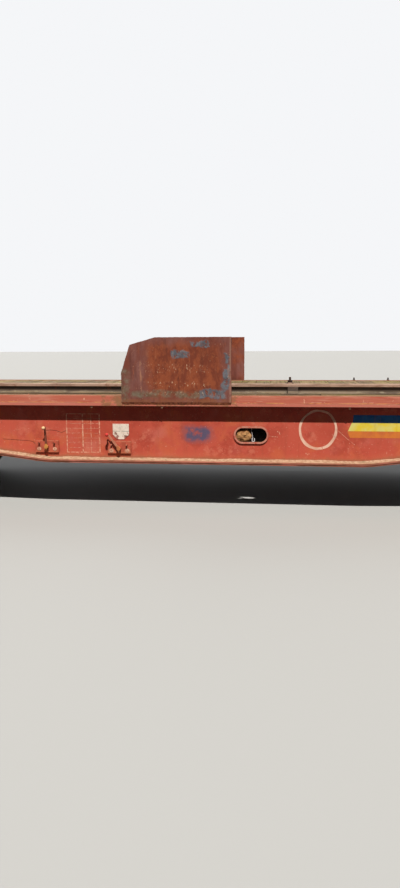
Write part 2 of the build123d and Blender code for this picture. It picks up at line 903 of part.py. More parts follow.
def corner_steps():
    items = []
    y = half_width - 150
    for sx in (-1, 1):
        for sy in (-1, 1):
            x0 = step_x - step_width / 2
            x1 = step_x + step_width / 2
            frame = []
            for x in (x0, x1):
                hanger = along_x(
                    profile([(y - 12, end_z), (y + 42, end_z), (y + 12, step_z), (y - 12, step_z)]), x - 6, x + 6,
                )
                frame.append(hanger)
            tread = block(x0 - 6, x1 + 6, y - step_depth / 2, y + step_depth / 2, step_z - 8, step_z)
            rung = block(x0 + 6, x1 - 6, y - 8, y + 12, step_z + 200, step_z + 216)
            step = frame[0] + frame[1] + tread + rung
            if sx < 0:
                step = endwise(step)
            if sy < 0:
                step = across(step)
            items.append(step)
    return items


def grab_handles():
    items = []
    for sx in (-1, 1):
        for sy in (-1, 1):
            x = half_body
            y = sy * buffer_y
            z = end_z + grab_rise
            path = FilletPolyline(
                (x, y - grab_half, z), (x + grab_reach, y - grab_half, z), (x + grab_reach, y + grab_half, z),
                (x, y + grab_half, z), radius=35,
            )
            bar = sweep(Plane(origin=(x, y - grab_half, z), z_dir=(1, 0, 0)) * Circle(grab_radius), path=path)
            if sx < 0:
                bar = endwise(bar)
            items.append(bar)
    return items


def brake_cylinder():
    x0 = cylinder_x - cylinder_length / 2
    x1 = cylinder_x + cylinder_length / 2
    y = cylinder_y
    z = tank_z
    drum = rod((x0, y, z), (x1, y, z), cylinder_radius)
    for x in (x0, x1 - cylinder_flange_plate):
        drum += rod((x, y, z), (x + cylinder_flange_plate, y, z), cylinder_radius + cylinder_flange)
    drum += rod((x1, y, z), (x1 + piston_rod_length, y, z), piston_tube_radius)
    brackets = []
    for x in (x0 + cylinder_length / 7, x1 - cylinder_length / 5):
        bracket = block(x, x + bracket_plate, y - bracket_half, y + bracket_half, z + cylinder_radius / 3, stringer_z)
        brackets.append(bracket - drum)
    return [drum] + brackets


def air_reservoir():
    x0 = reservoir_x - reservoir_length / 2
    x1 = reservoir_x + reservoir_length / 2
    r = reservoir_radius
    y = reservoir_y
    z = reservoir_z
    # Dished ends: revolve of half the long section.
    outline = [
        (x0, 0), (x0, r * 0.45, 40), (x0 + reservoir_dish, r, 50), (x1 - reservoir_dish, r, 50), (x1, r * 0.45, 40), (x1, 0),
    ]
    items = [Pos(0, y, z) * revolve(profile(outline), Axis.X)]
    for x in (x0 + strap_inset, x1 - strap_inset):
        strap = rod((x - strap_half, y, z), (x + strap_half, y, z), r + 6)
        bore = rod((x - strap_half, y, z), (x + strap_half, y, z), r)
        half = bracket_plate / 2
        hanger = block(x - half, x + half, y - bracket_half, y + bracket_half, z + r / 3, stringer_z)
        items.append(strap + hanger - bore)
    return items


def distributor_valve():
    top = stringer_z
    x = valve_x
    y = valve_y
    neck = top - valve_foot - valve_neck
    low = neck - valve_height
    port_z = (neck + low) / 2
    valve = block(x - bracket_half, x + bracket_half, y - 70, y + 70, top - valve_foot, top)
    valve += block(x - 60, x + 60, y - 50, y + 50, neck, top - valve_foot)
    valve += rod((x, y, low), (x, y, neck), valve_radius)
    valve += rod((x, y, low - valve_cap), (x, y, low), valve_radius - 22)
    valve += rod((x, y, port_z), (x - valve_port_reach, y, port_z), valve_port_radius)
    return [valve]


def brake_pipe():
    x1 = half_body + 40
    items = [rod((-x1, pipe_y, pipe_z), (x1, pipe_y, pipe_z), pipe_radius)]
    # Each end has an angle cock with its outlet turned down.
    for side in (-1, 1):
        x = side * (x1 + 30)
        cock = rod((side * x1, pipe_y, pipe_z), (side * (x1 + 60), pipe_y, pipe_z), 30)
        cock += rod((x, pipe_y, pipe_z), (x, pipe_y, pipe_z - cock_drop), 24)
        cock += rod((x, pipe_y, pipe_z), (x, pipe_y, pipe_z + 62), 12)
        cock += block(x - 10, x + 10, pipe_y - 60, pipe_y + 12, pipe_z + 56, pipe_z + 66)
        items.append(cock)
    return items


def brake_rigging():
    z = tank_z
    # Equalising lever at the cylinder, swung about a bracket on the centre sill.
    lever = along_z(
        profile([
            (lever_x - 30, cylinder_y + 40, 20), (lever_x + 30, cylinder_y + 40, 20),
            (lever_x + 22, -60, 20), (lever_x - 22, -60, 20),
        ]), z - lever_plate / 2, z + lever_plate / 2,
    )
    post = block(lever_x - 30, lever_x + 30, 230, 290, z + lever_plate / 2, center_sill_z)
    clevis_x0 = cylinder_x + cylinder_length / 2 + piston_rod_length
    push = rod((clevis_x0, cylinder_y, z), (lever_x, cylinder_y, z), 22)
    pulls = [
        rod((lever_x, pull_a_y, z), (rod_end_x, pull_a_y, z), pull_radius),
        rod((lever_x, pull_b_y, z), (-rod_end_x, pull_b_y, z), pull_radius),
    ]
    items = [lever, post, push - lever, pulls[0] - lever, pulls[1] - lever]
    for side, y, pull in ((1, pull_a_y, pulls[0]), (-1, pull_b_y, pulls[1])):
        x = side * (rod_end_x - 10)
        items.append(block(x - 12, x + 12, y - 24, y + 24, z - 60, z + 30) - pull)
    # Hangers that carry the pull rods under the centre sill.
    for x in pull_hanger_rows:
        y = pull_a_y if x > 0 else pull_b_y
        pull = pulls[0] if x > 0 else pulls[1]
        low = z - pull_radius - 4
        hanger = rod((x, y - 26, low), (x, y + 26, low), 6)
        for edge in (-26, 26):
            hanger += rod((x, y + edge, low), (x, y + edge, center_sill_z + center_sill_plate), 6)
        items.append(hanger - pull)
    return items


def wheelset(x):
    # An axle with two pressed-on wheels: rows (distance from the axle's middle, radius, corner radius).
    back = back_to_back / 2
    front = back + wheel_width
    tip = wheel_radius + flange_height
    hub_in = back - hub_overhang_in
    hub_out = front + hub_overhang_out
    shoulder = journal_y - journal_length / 2 - 14
    axle_half = [
        (0, axle_radius), (hub_in - 60, axle_radius), (hub_in - 18, wheel_seat_radius), (hub_out, wheel_seat_radius),
        (hub_out, seal_radius), (shoulder, seal_radius), (shoulder, journal_radius),
        (journal_y + journal_length / 2, journal_radius),
    ]
    left = [(-row[0], row[1]) for row in axle_half[:0:-1]]
    end = axle_half[-1][0]
    axle = revolve(Plane.YZ * profile([(-end, 0)] + left + axle_half[1:] + [(end, 0)]), Axis.Y)
    wheel_rows = [
        (hub_in, wheel_seat_radius), (hub_in, hub_radius), (back + 30, hub_radius + 4, 16), (back + 22, rim_radius - 16, 10),
        (back, rim_radius - 4), (back, tip - 10), (back + 9, tip), (back + 20, tip), (back + 30, tip - 12),
        (back + 36, wheel_radius + 3, 6), (front - 10, wheel_radius - 3), (front, wheel_radius - 12), (front, rim_radius),
        (back + 62, rim_radius - 16, 16), (back + 88, hub_radius + 8, 16), (hub_out, hub_radius),
        (hub_out, wheel_seat_radius),
    ]
    wheel = revolve(Plane.YZ * profile(wheel_rows), Axis.Y)
    at = Pos(x, 0, axle_z)
    return [at * axle, at * wheel, at * across(wheel)]


def frame_lower_line(lift):
    # Underside of a side frame from -X to +X: rows (x, z, radius).
    z_arch = frame_top_z - frame_arch_depth + lift
    z_waist = frame_top_z - frame_waist_depth + lift
    inner_spring = axle_x - spring_offset - spring_radius - 25
    waist = frame_waist_half
    return [
        (-inner_spring, z_arch, 60), (-waist, z_waist, 60), (waist, z_waist, 60), (inner_spring, z_arch, 60),
    ]


def side_frame():
    t = frame_plate
    x1 = frame_half_length
    z_arch = frame_top_z - frame_arch_depth
    y0 = journal_y - frame_width / 2
    y1 = journal_y + frame_width / 2
    body_outline = [(-x1, frame_top_z - t), (-x1, z_arch + t)] + frame_lower_line(t)
    body_outline += [(x1, z_arch + t), (x1, frame_top_z - t)]
    body = along_y(profile(body_outline), y0, y1)
    f0 = journal_y - frame_flange_width / 2
    f1 = journal_y + frame_flange_width / 2
    top = block(-x1, x1, f0, f1, frame_top_z - t, frame_top_z)
    strip = [(-x1, z_arch + t), (-x1, z_arch)] + frame_lower_line(0) + [(x1, z_arch), (x1, z_arch + t)]
    strip += frame_lower_line(t)[::-1]
    bottom = along_y(profile(strip), f0, f1)
    # Vertical web ribs over each axle and at the waist.
    frame = body + top + bottom
    horn_x = box_half_width + horn_gap
    for axle in (-axle_x, axle_x):
        for side in (-1, 1):
            x0 = axle + side * horn_x
            x2 = x0 + side * horn_plate
            horn_z = z_arch - horn_drop
            horn = profile([
                (min(x0, x2), z_arch), (min(x0, x2), horn_z), (max(x0, x2), horn_z), (max(x0, x2), z_arch),
            ])
            frame += along_y(horn, y0 + 10, y1 - 10)
    return frame


def bogie_frame():
    side = side_frame()
    y0 = journal_y - frame_width / 2
    low = frame_top_z - transom_depth
    high = bowl_z
    # Transom: rows (y, z), raised in the middle under the centre bowl.
    outline = [
        (-y0, low + 30), (-y0 + 160, low), (y0 - 160, low), (y0, low + 30), (y0, frame_top_z),
        (side_bearing_y - 120, frame_top_z), (260, high), (-260, high), (-side_bearing_y + 120, frame_top_z),
        (-y0, frame_top_z),
    ]
    shell = along_x(profile(outline), -transom_half, transom_half)
    # Webs set in from the cover plates on both faces.
    pocket_outline = [
        (-y0 + 60, low + 60), (y0 - 60, low + 60), (y0 - 60, frame_top_z - 40), (side_bearing_y - 140, frame_top_z - 40),
        (250, high - 45), (-250, high - 45), (-side_bearing_y + 140, frame_top_z - 40), (-y0 + 60, frame_top_z - 40),
    ]
    pocket = profile(pocket_outline)
    shell -= along_x(pocket, transom_half - 22, transom_half + 1)
    shell -= along_x(pocket, -transom_half - 1, -transom_half + 22)
    shell = shell - pivot_pin_hole() - side - across(side)
    return [side, across(side), shell]


def pivot_pin_hole():
    return rod((0, 0, axle_z), (0, 0, bolster_z), pivot_pin_radius + bowl_clearance)


def center_bowl():
    floor_top = bowl_z + bowl_floor
    dish = rod((0, 0, bowl_z), (0, 0, floor_top + bowl_rim), bowl_radius)
    dish -= rod((0, 0, floor_top), (0, 0, floor_top + bowl_rim + 1), pivot_radius + bowl_clearance)
    return dish - pivot_pin_hole()


def side_bearers():
    top = bolster_z - side_bearing_drop - bearing_gap
    items = []
    for side in (-1, 1):
        y = side * side_bearing_y
        w = side_bearing_width / 2
        cage = block(-side_bearing_length / 2, side_bearing_length / 2, y - w, y + w, frame_top_z, frame_top_z + 70)
        pad = block(-side_bearing_length / 2 + 20, side_bearing_length / 2 - 20, y - w + 12, y + w - 12, frame_top_z + 70, top)
        items.append(cage + pad)
    return items


def axleboxes():
    boxes = []
    for x in (-axle_x, axle_x):
        w = box_half_width
        seat_z = axle_z - spring_seat_drop
        y0 = journal_y - box_depth_y / 2
        y1 = journal_y + box_depth_y / 2
        wing = spring_offset + spring_radius + 6
        outline = [
            (x - wing, seat_z - 34, 14), (x + wing, seat_z - 34, 14), (x + wing, seat_z), (x + w, seat_z),
            (x + w, axle_z + 60, 50), (x + 50, axle_z + 125, 30), (x - 50, axle_z + 125, 30), (x - w, axle_z + 60, 50),
            (x - w, seat_z), (x - wing, seat_z),
        ]
        box = along_y(profile(outline), y0, y1)
        # The wings are narrower than the box.
        for side in (-1, 1):
            x_in = x + side * (w + 0.01)
            x_out = x + side * (wing + 20)
            for ya, yb in ((y0 - 1, y0 + 22), (y1 - 22, y1 + 1)):
                box -= block(min(x_in, x_out), max(x_in, x_out), ya, yb, seat_z - 60, seat_z + 1)
        cover = rod((x, y1, axle_z), (x, y1 + 26, axle_z), 96)
        cap = rod((x, y1 + 26, axle_z), (x, y1 + 40, axle_z), 60)
        box = box + cover + cap
        bore_end = journal_y + journal_length / 2 + 3
        box -= rod((x, y0 - 1, axle_z), (x, bore_end, axle_z), journal_radius + journal_clearance)
        boxes += [box, across(box)]
    return boxes


def spring():
    # A coil spring's outer form between its pads, as a stack of rounded turns.
    z0 = axle_z - spring_seat_drop
    z1 = frame_top_z - frame_arch_depth
    r = spring_radius
    pads = z0 + spring_pad
    pitch = (z1 - spring_pad - pads) / spring_turns
    wire = spring_wire / 2
    outline = [(0, z0), (r, z0), (r, pads)]
    for turn in range(spring_turns):
        low = pads + turn * pitch
        outline += [(r, low + pitch * 0.15), (r, low + pitch * 0.6), (r - wire, low + pitch * 0.8)]
    outline += [(r, z1 - spring_pad), (r, z1), (0, z1)]
    section = Plane.XZ * make_face(Polyline(*outline, close=True))
    return revolve(section, Axis.Z)


def springs():
    items = []
    one = spring()
    for x in (-axle_x, axle_x):
        for side in (-1, 1):
            for y in (-journal_y, journal_y):
                items.append(Pos(x + side * spring_offset, y, 0) * one)
    return items


def brake_shoe(side, y, beam, beam_x, z_mid):
    # Shoe, holder, hanger and bracket at one wheel.
    tread_x = axle_x - wheel_radius - block_gap - block_thickness
    face = rod((side * axle_x, y - block_width, axle_z), (side * axle_x, y + block_width, axle_z), wheel_radius + block_gap)
    back = rod(
        (side * axle_x, y - block_width, axle_z), (side * axle_x, y + block_width, axle_z),
        wheel_radius + block_gap + block_thickness,
    )
    x_in = beam_x + side * 20
    x_out = side * (tread_x + block_thickness + block_gap + 60)
    shoe = block(
        min(x_in, x_out), max(x_in, x_out), y - block_width / 2, y + block_width / 2,
        z_mid - block_height / 2, z_mid + block_height / 2,
    )
    holder_x = side * (tread_x + 30)
    holder = block(min(beam_x, holder_x), max(beam_x, holder_x), y - 22, y + 22, z_mid - 70, z_mid + 50)
    z_pin = frame_top_z - transom_depth + 40
    hanger = block(beam_x - 9, beam_x + 9, y - 30, y + 30, z_mid, z_pin)
    reach = side * transom_half
    bracket = block(min(reach, beam_x + side * 20), max(reach, beam_x + side * 20), y - 34, y + 34, z_pin, z_pin + 30)
    return ((shoe & back) - face) + (holder - face) + hanger + bracket - beam


def bogie_brakes():
    # Inner blocks on both axles, hung from the frame, with one beam for each axle.
    items = []
    tread_y = back_to_back / 2 + wheel_width / 2 + 12
    z_mid = axle_z - 20
    for side in (-1, 1):
        beam_x = side * (axle_x - wheel_radius - block_gap - block_thickness - 70)
        beam = block(beam_x - 24, beam_x + 24, -tread_y - 40, tread_y + 40, z_mid - 30, z_mid + 10)
        post = block(beam_x - 12, beam_x + 12, -10, 10, z_mid + 10, frame_top_z - transom_depth - 6)
        items += [beam, post]
        for y in (-tread_y, tread_y):
            items.append(brake_shoe(side, y, beam, beam_x, z_mid))
    return items


os.makedirs("parts", exist_ok=True)

sill, window = side_sill()
save("side_sill_near", sill)
save("side_sill_far", [turned(plate) for plate in sill])
save("web_window_near", [window])
save("web_window_far", [turned(window)])
save("center_sill", center_sill())
save("cross_bearers", floor_frame())
save("floor_stringers", stringers())
bolster = body_bolster()
passage = pipe_passage(-half_body - 1, half_body + 1)
save("body_bolster_a", [Pos(pivot_x, 0, 0) * plate - passage for plate in bolster])
save("body_bolster_b", [Pos(-pivot_x, 0, 0) * plate - passage for plate in bolster])
end = headstock()
save("headstock_a", [plate - passage for plate in end])
save("headstock_b", [endwise(plate) - passage for plate in end])
save("deck_planks", deck_planks())
save("deck_edge_beam", deck_edge_beam())
save("beam_clamps", beam_clamps())

cheek_near = container_cheek()
save("container_side_near", [cheek_near])
save("container_side_far", [across(cheek_near)])
save("container_body", container_body())

units = levers()
save("changeover_levers_near", units)
save("changeover_levers_far", [turned(unit) for unit in units])
plate_face = profile([(x, rail_z + z) for x, z in data_plate_outline])
data_plate = along_y(plate_face, -web_y - data_plate_thickness, -web_y)
save("data_plates", [data_plate, turned(data_plate)])
lugs = lashing_lugs()
save("lashing_lugs", lugs + [turned(lug) for lug in lugs])

for end_name, place in (("a", lambda shape: shape), ("b", endwise)):
    cases = buffer_case(-buffer_y) + buffer_case(buffer_y)
    plungers = buffer_plunger(-buffer_y) + buffer_plunger(buffer_y)
    save(f"buffer_cases_{end_name}", [place(shape) for shape in cases])
    save(f"buffer_plungers_{end_name}", [place(shape) for shape in plungers])
    save(f"draw_hook_{end_name}", [place(shape) for shape in draw_hook()])
    save(f"screw_coupling_{end_name}", [place(shape) for shape in screw_coupling()])

save("corner_steps", corner_steps())
save("grab_handles", grab_handles())
save("brake_cylinder", brake_cylinder())
save("air_reservoir", air_reservoir())
save("distributor_valve", distributor_valve())
save("brake_pipe", brake_pipe())
save("brake_rigging", brake_rigging())

for end_name, x in (("a", pivot_x), ("b", -pivot_x)):
    at = Pos(x, 0, 0)
    save(f"bogie_frame_{end_name}", [at * shape for shape in bogie_frame()])
    save(f"center_bowl_{end_name}", [at * center_bowl()])
    save(f"side_bearers_{end_name}", [at * shape for shape in side_bearers()])
    save(f"axleboxes_{end_name}", [at * shape for shape in axleboxes()])
    save(f"springs_{end_name}", [at * shape for shape in springs()])
    save(f"bogie_brakes_{end_name}", [at * shape for shape in bogie_brakes()])
    save(f"wheelset_{end_name}1", [at * shape for shape in wheelset(axle_x)])
    save(f"wheelset_{end_name}2", [at * shape for shape in wheelset(-axle_x)])
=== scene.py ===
import bpy, bmesh, json, random
from math import pi, sin, cos, tan, radians
from mathutils import Vector, Matrix, noise


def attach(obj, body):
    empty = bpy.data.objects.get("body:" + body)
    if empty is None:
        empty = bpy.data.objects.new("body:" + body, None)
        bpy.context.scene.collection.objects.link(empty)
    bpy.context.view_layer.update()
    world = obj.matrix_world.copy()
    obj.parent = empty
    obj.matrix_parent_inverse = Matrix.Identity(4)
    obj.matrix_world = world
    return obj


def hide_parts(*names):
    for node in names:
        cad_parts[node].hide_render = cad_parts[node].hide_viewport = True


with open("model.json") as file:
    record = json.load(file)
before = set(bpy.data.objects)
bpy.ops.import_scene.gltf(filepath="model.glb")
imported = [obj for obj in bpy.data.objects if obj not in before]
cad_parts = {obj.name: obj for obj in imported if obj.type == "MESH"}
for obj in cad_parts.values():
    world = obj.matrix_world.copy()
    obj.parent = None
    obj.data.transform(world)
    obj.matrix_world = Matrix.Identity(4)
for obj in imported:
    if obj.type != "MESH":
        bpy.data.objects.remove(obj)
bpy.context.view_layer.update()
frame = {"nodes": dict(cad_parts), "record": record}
nodes = frame["nodes"]
print("frame loaded:", len(nodes), "nodes")


def toned(code):
    # colours are written as display values of red, green and blue, two hexadecimal digits each
    def lin(c):
        return c / 12.92 if c <= 0.04045 else ((c + 0.055) / 1.055) ** 2.4
    return (*(lin(int(code[k:k + 2], 16) / 255) for k in (0, 2, 4)), 1.0)


# camera and light
view = {"place": (0.805, -8.600, 1.898), "yaw": 6.63, "pitch": 9.01, "roll": -0.31, "lens": 27.04}
light = {
    "from": (0.30, -1.10, 1.75), "strength": 4.9, "softness": 1.4, "sky": 0.055,
    "fillFrom": (-0.6, 1.0, 0.7), "fill": 1.3, "fillSoftness": 50, "ground": 0.035,
    "sunTone": (1, 0.965, 0.91), "fillTone": (0.95, 0.97, 1), "skyTone": (0.97, 0.98, 1, 1), "skySeen": 0.94,
    "floorSeen": (0.43, 0.43, 0.42, 1), "floorHalf": 90,
}


def makeCamera():
    cam = bpy.data.cameras.new("camera")
    cam.lens = view["lens"]
    cam.clip_end = 300
    obj = bpy.data.objects.new("camera", cam)
    bpy.context.scene.collection.objects.link(obj)
    turn = Matrix.Rotation(radians(view["yaw"]), 4, "Z")
    turn @= Matrix.Rotation(radians(90 - view["pitch"]), 4, "X")
    turn @= Matrix.Rotation(radians(view["roll"]), 4, "Z")
    obj.matrix_world = Matrix.Translation(view["place"]) @ turn
    bpy.context.scene.camera = obj


def makeSun(name, origin, strength, softness, colour):
    sun = bpy.data.lights.new(name, "SUN")
    sun.energy = strength
    sun.angle = radians(softness)
    sun.color = colour
    lamp = bpy.data.objects.new(name, sun)
    bpy.context.scene.collection.objects.link(lamp)
    lamp.matrix_world = Vector(origin).to_track_quat("Z", "Y").to_matrix().to_4x4()


class Val:
    # one socket of a finish; sums and products of it add Math nodes
    def __init__(self, finish, socket):
        self.finish, self.socket = finish, socket

    def math(self, kind, other=None, flip=False):
        pair = (other, self) if flip else (self, other)
        sockets = {0: self} if other is None else {0: pair[0], 1: pair[1]}
        return self.finish.node("ShaderNodeMath", {"operation": kind}, sockets)

    def __add__(self, other): return self.math("ADD", other)
    def __radd__(self, other): return self.math("ADD", other)
    def __sub__(self, other): return self.math("SUBTRACT", other)
    def __rsub__(self, other): return self.math("SUBTRACT", other, True)
    def __mul__(self, other): return self.math("MULTIPLY", other)
    def __rmul__(self, other): return self.math("MULTIPLY", other)
    def __truediv__(self, other): return self.math("DIVIDE", other)
    def __pow__(self, other): return self.math("POWER", other)
    def __gt__(self, other): return self.math("GREATER_THAN", other)
    def __lt__(self, other): return self.math("LESS_THAN", other)

    def above(self, low, high):
        # 0 under low, 1 over high, soft between; swapped limits turn it round
        return self.finish.node(
            "ShaderNodeMapRange", {"interpolation_type": "SMOOTHSTEP"},
            {"Value": self, "From Min": low, "From Max": high, "To Min": 0.0, "To Max": 1.0})

    def within(self, low, high, out, into=0):
        # 1 between two limits, soft out of them and into the range
        return self.above(low - out, low + into) * self.above(high + out, high - into)

    def least(self, other): return self.math("MINIMUM", other)
    def most(self, other): return self.math("MAXIMUM", other)
    def size(self): return self.math("ABSOLUTE")


class Finish:
    # a material with one Principled shader, fed by the methods below
    def __init__(self, name, rough, shine=0.18):
        self.mat = bpy.data.materials.new(name)
        self.mat.use_nodes = True
        self.tree = self.mat.node_tree
        self.shader = self.tree.nodes["Principled BSDF"]
        self.shader.inputs["Roughness"].default_value = rough
        self.shader.inputs["Specular IOR Level"].default_value = shine
        self.coords = self.node("ShaderNodeTexCoord", {}, {}, "Object")
        self.axes = {}
        self.edgeSoft = None
        self.colour = None

    def node(self, kind, settings, sockets, out=0):
        # any node: its type, settings and inputs, each a Val, a colour's code or a plain value
        new = self.tree.nodes.new(kind)
        for key, value in settings.items():
            setattr(new, key, value)
        for key, value in sockets.items():
            if isinstance(value, Val):
                self.tree.links.new(value.socket, new.inputs[key])
            else:
                new.inputs[key].default_value = toned(value) if isinstance(value, str) else value
        return Val(self, new.outputs[out])

    def axis(self, letter):
        # one Object coordinate in metres, or "S": x as seen by one who faces that side of the wagon
        if not self.axes:
            self.axes = {key: self.node("ShaderNodeSeparateXYZ", {}, {0: self.coords}, key) for key in "XYZ"}
            self.axes["S"] = self.axes["X"] * self.axes["Y"].math("SIGN") * -1
        return self.axes[letter]

    def normalAxis(self, letter="Z"):
        normal = self.node("ShaderNodeNewGeometry", {}, {}, "Normal")
        return self.node("ShaderNodeSeparateXYZ", {}, {0: normal}, letter)

    def upward(self, low=0.3, high=0.8):
        # mask of faces that look up
        return self.normalAxis().above(low, high)

    def noise(self, scale, detail, rough, stretch=(1, 1, 1), shift=(0, 0, 0), twist=0.0, line=None):
        # line: the coordinates that the pattern follows, where they aren't Object ones
        place = self.node("ShaderNodeMapping", {}, {
            "Vector": line or self.coords, "Scale": stretch, "Location": shift})
        return self.node("ShaderNodeTexNoise", {}, {
            "Vector": place, "Scale": scale, "Detail": detail, "Roughness": rough, "Distortion": twist})

    def blot(self, low, high, *pattern, **place):
        # patchy mask: noise cut between two levels
        return self.noise(*pattern, **place).above(low, high)

    def edges(self, radius):
        # mask of edges: there the rounded normal leaves the true one
        self.edgeSoft = self.node("ShaderNodeBevel", {"samples": 4}, {"Radius": radius})
        true = self.node("ShaderNodeNewGeometry", {}, {}, "Normal")
        pair = {0: self.edgeSoft, 1: true}
        same = self.node("ShaderNodeVectorMath", {"operation": "DOT_PRODUCT"}, pair, "Value")
        return (1 - same).above(0.01, 0.16)

    def corners(self, reach):
        # mask of inner corners and gaps, from ambient occlusion; a colour darkened by it is painted shade
        free = self.node("ShaderNodeAmbientOcclusion", {"samples": 4}, {"Distance": reach}, "AO")
        return free.above(0.85, 0.35)

    def spot(self, x, z, radius, soft=0.25, tall=1.0):
        # round mask about a point of the side view
        dx = self.axis("S") - x
        dz = (self.axis("Z") - z) / tall
        return ((dx * dx + dz * dz) ** 0.5).above(radius * (1 + soft), radius * (1 - soft))

    def patch(self, x0, x1, z0, z1, ragged=0.03, soft=0.012, scale=9, shift=0):
        # mask of an area of the side view with a ragged edge
        x = self.axis("S") + (self.noise(scale, 5, 0.65, shift=(shift, 0, 3)) - 0.5) * ragged * 4
        z = self.axis("Z") + (self.noise(scale, 5, 0.65, shift=(5, shift, 0)) - 0.5) * ragged * 4
        return x.within(x0, x1, soft, soft) * z.within(z0, z1, soft, soft)

    def mix(self, first, second, mask):
        return self.node("ShaderNodeMix", {"data_type": "RGBA"}, {6: first, 7: second, 0: mask}, 2)

    def lay(self, tone, mask):
        # one more layer over the colour so far
        self.colour = self.mix(self.colour, tone, mask)

    def feed(self, **sockets):
        names = {"rough": "Roughness", "metal": "Metallic", "normal": "Normal"}
        self.tree.links.new(self.colour.socket, self.shader.inputs["Base Color"])
        for key, value in sockets.items():
            self.tree.links.new(value.socket, self.shader.inputs[names[key]])
        return self.mat

    def bump(self, height, distance):
        sockets = {"Height": height, "Distance": distance}
        if self.edgeSoft is not None:
            sockets["Normal"] = self.edgeSoft
        return self.node("ShaderNodeBump", {}, sockets)


rustDark = "46281e"
rustMid = "743c26"
rustPale = "a45e38"
dustPale = "ba9470"
# dark tone of the painted shade in corners and gaps
cornerShadeDark = "2e241e"

# painted steels: first, second and faded tone, then rust, dust on top, streaks, roughness, bared edges and
# painted shade in corners
paints = {
    "frame red": ("78362a", "5e2e26", "8a4e3e", 0.6, 0.8, 0.3, 0.82, 0.7, 0.6),
    "end red": ("ba5442", "a6483a", "c6705c", 0.75, 0.8, 0.5, 0.68, 0.8, 0.6),
    "gear black": ("4a4039", "362f2b", "64564a", 0.7, 0.8, 0.35, 0.7, 0.9, 0.5),
    "bogie brown": ("604636", "48362c", "7c5e46", 0.6, 0.9, 0.3, 0.84, 0.6, 0.7),
    # the lashing lugs' paint is pale so that, hanging in the member's shade, they look lit: painted light
    "lug pale painted lit": ("be9278", "a0705a", "ceaa90", 0.5, 0.5, 0.3, 0.8, 0.5, 0.3),
    "castings brown": ("5c4234", "44342c", "7c5c46", 0.75, 0.7, 0.2, 0.86, 0.8, 0.6),
    "bolt black": ("241c18", "181311", "3c2e26", 0.4, 0.3, 0.2, 0.7, 0.5, 0.5),
}


def rustTint(f, scale=30, shift=(0, 0, 0)):
    # dark and orange rust, in grains
    tint = f.mix(rustDark, rustPale, f.blot(0.35, 0.65, scale, 5, 0.65, shift=shift))
    return f.mix(tint, rustMid, f.blot(0.45, 0.6, scale * 0.3, 3, 0.5, shift=shift) * 0.6)


def steelPaint(name, first, second, faded, rust, dust, streak, rough, edge, cornerShade):
    f = Finish(name, rough)
    cloudy = f.noise(5.5, 5, 0.6)
    f.colour = f.mix(first, second, f.blot(0.35, 0.7, 0.9, 3, 0.5))
    f.lay(faded, cloudy.above(0.52, 0.75) * 0.6)
    # washed-down streaks, fine across and long in height
    f.lay(rustMid, f.blot(0.5, 0.78, 9, 4, 0.6, (1, 1, 0.12)) * streak)
    f.lay(faded, f.blot(0.56, 0.8, 14, 3, 0.5, (1, 1, 0.08), (4, 2, 7)) * streak)
    # chips down to rust: spots, wider eaten places and bared edges
    spots = f.blot(0.64, 0.68, 48, 3, 0.6)
    eaten = f.blot(0.60, 0.67, 11, 6, 0.7, shift=(3, 1, 5))
    bare = f.edges(0.005) * f.blot(0.38, 0.56, 26, 4, 0.6, shift=(7, 7, 2)) * edge
    rusty = ((spots + eaten) * rust).most(bare)
    f.lay(rustTint(f), rusty.least(1.0))
    # painted shade: the colour darkens in corners and gaps
    f.lay(cornerShadeDark, f.corners(0.07) * cornerShade)
    f.lay(dustPale, f.upward(0.35, 0.9) * f.blot(0.15, 0.6, 7, 4, 0.6) * dust)
    height = cloudy * 0.4 + f.noise(160, 3, 0.6) * 0.25 - rusty * 0.7
    return f.feed(rough=cloudy * 0.2 + (rough - 0.1) + rusty * 0.15, normal=f.bump(height, 0.0014))


# colours and places of the side sill's paint; an area is x0, x1, z0, z1 in metres, how ragged and soft its edge
# is, and the grain of that edge
sill = {
    "web": "c95a47", "webDeep": "ba4e3c", "orange": "ce6844", "pink": "cc7062",
    "member": "c36a55", "memberDeep": "b85846", "memberPale": "d08670",
    "stepLine": "e2965c", "sand": "c69c78", "sandDeep": "a07052",
    "moss": "968c60", "smear": "4a5470", "smearEdge": "965c60",
    "flat": 1.795, "slope": tan(radians(7.2)), "rise": 0.33, "low": 0.53, "chord": 0.02,
    "memberLow": 1.164, "lipTop": 1.198, "footDirt": (-1.12, 0.40, 1.15, 1.30, 0.05),
    "smearArea": (-0.20, 0.055, 0.775, 0.915, 0.035, 0.03, 11),
    "smearRim": (-0.24, 0.10, 0.75, 0.935, 0.05, 0.04, 7),
}


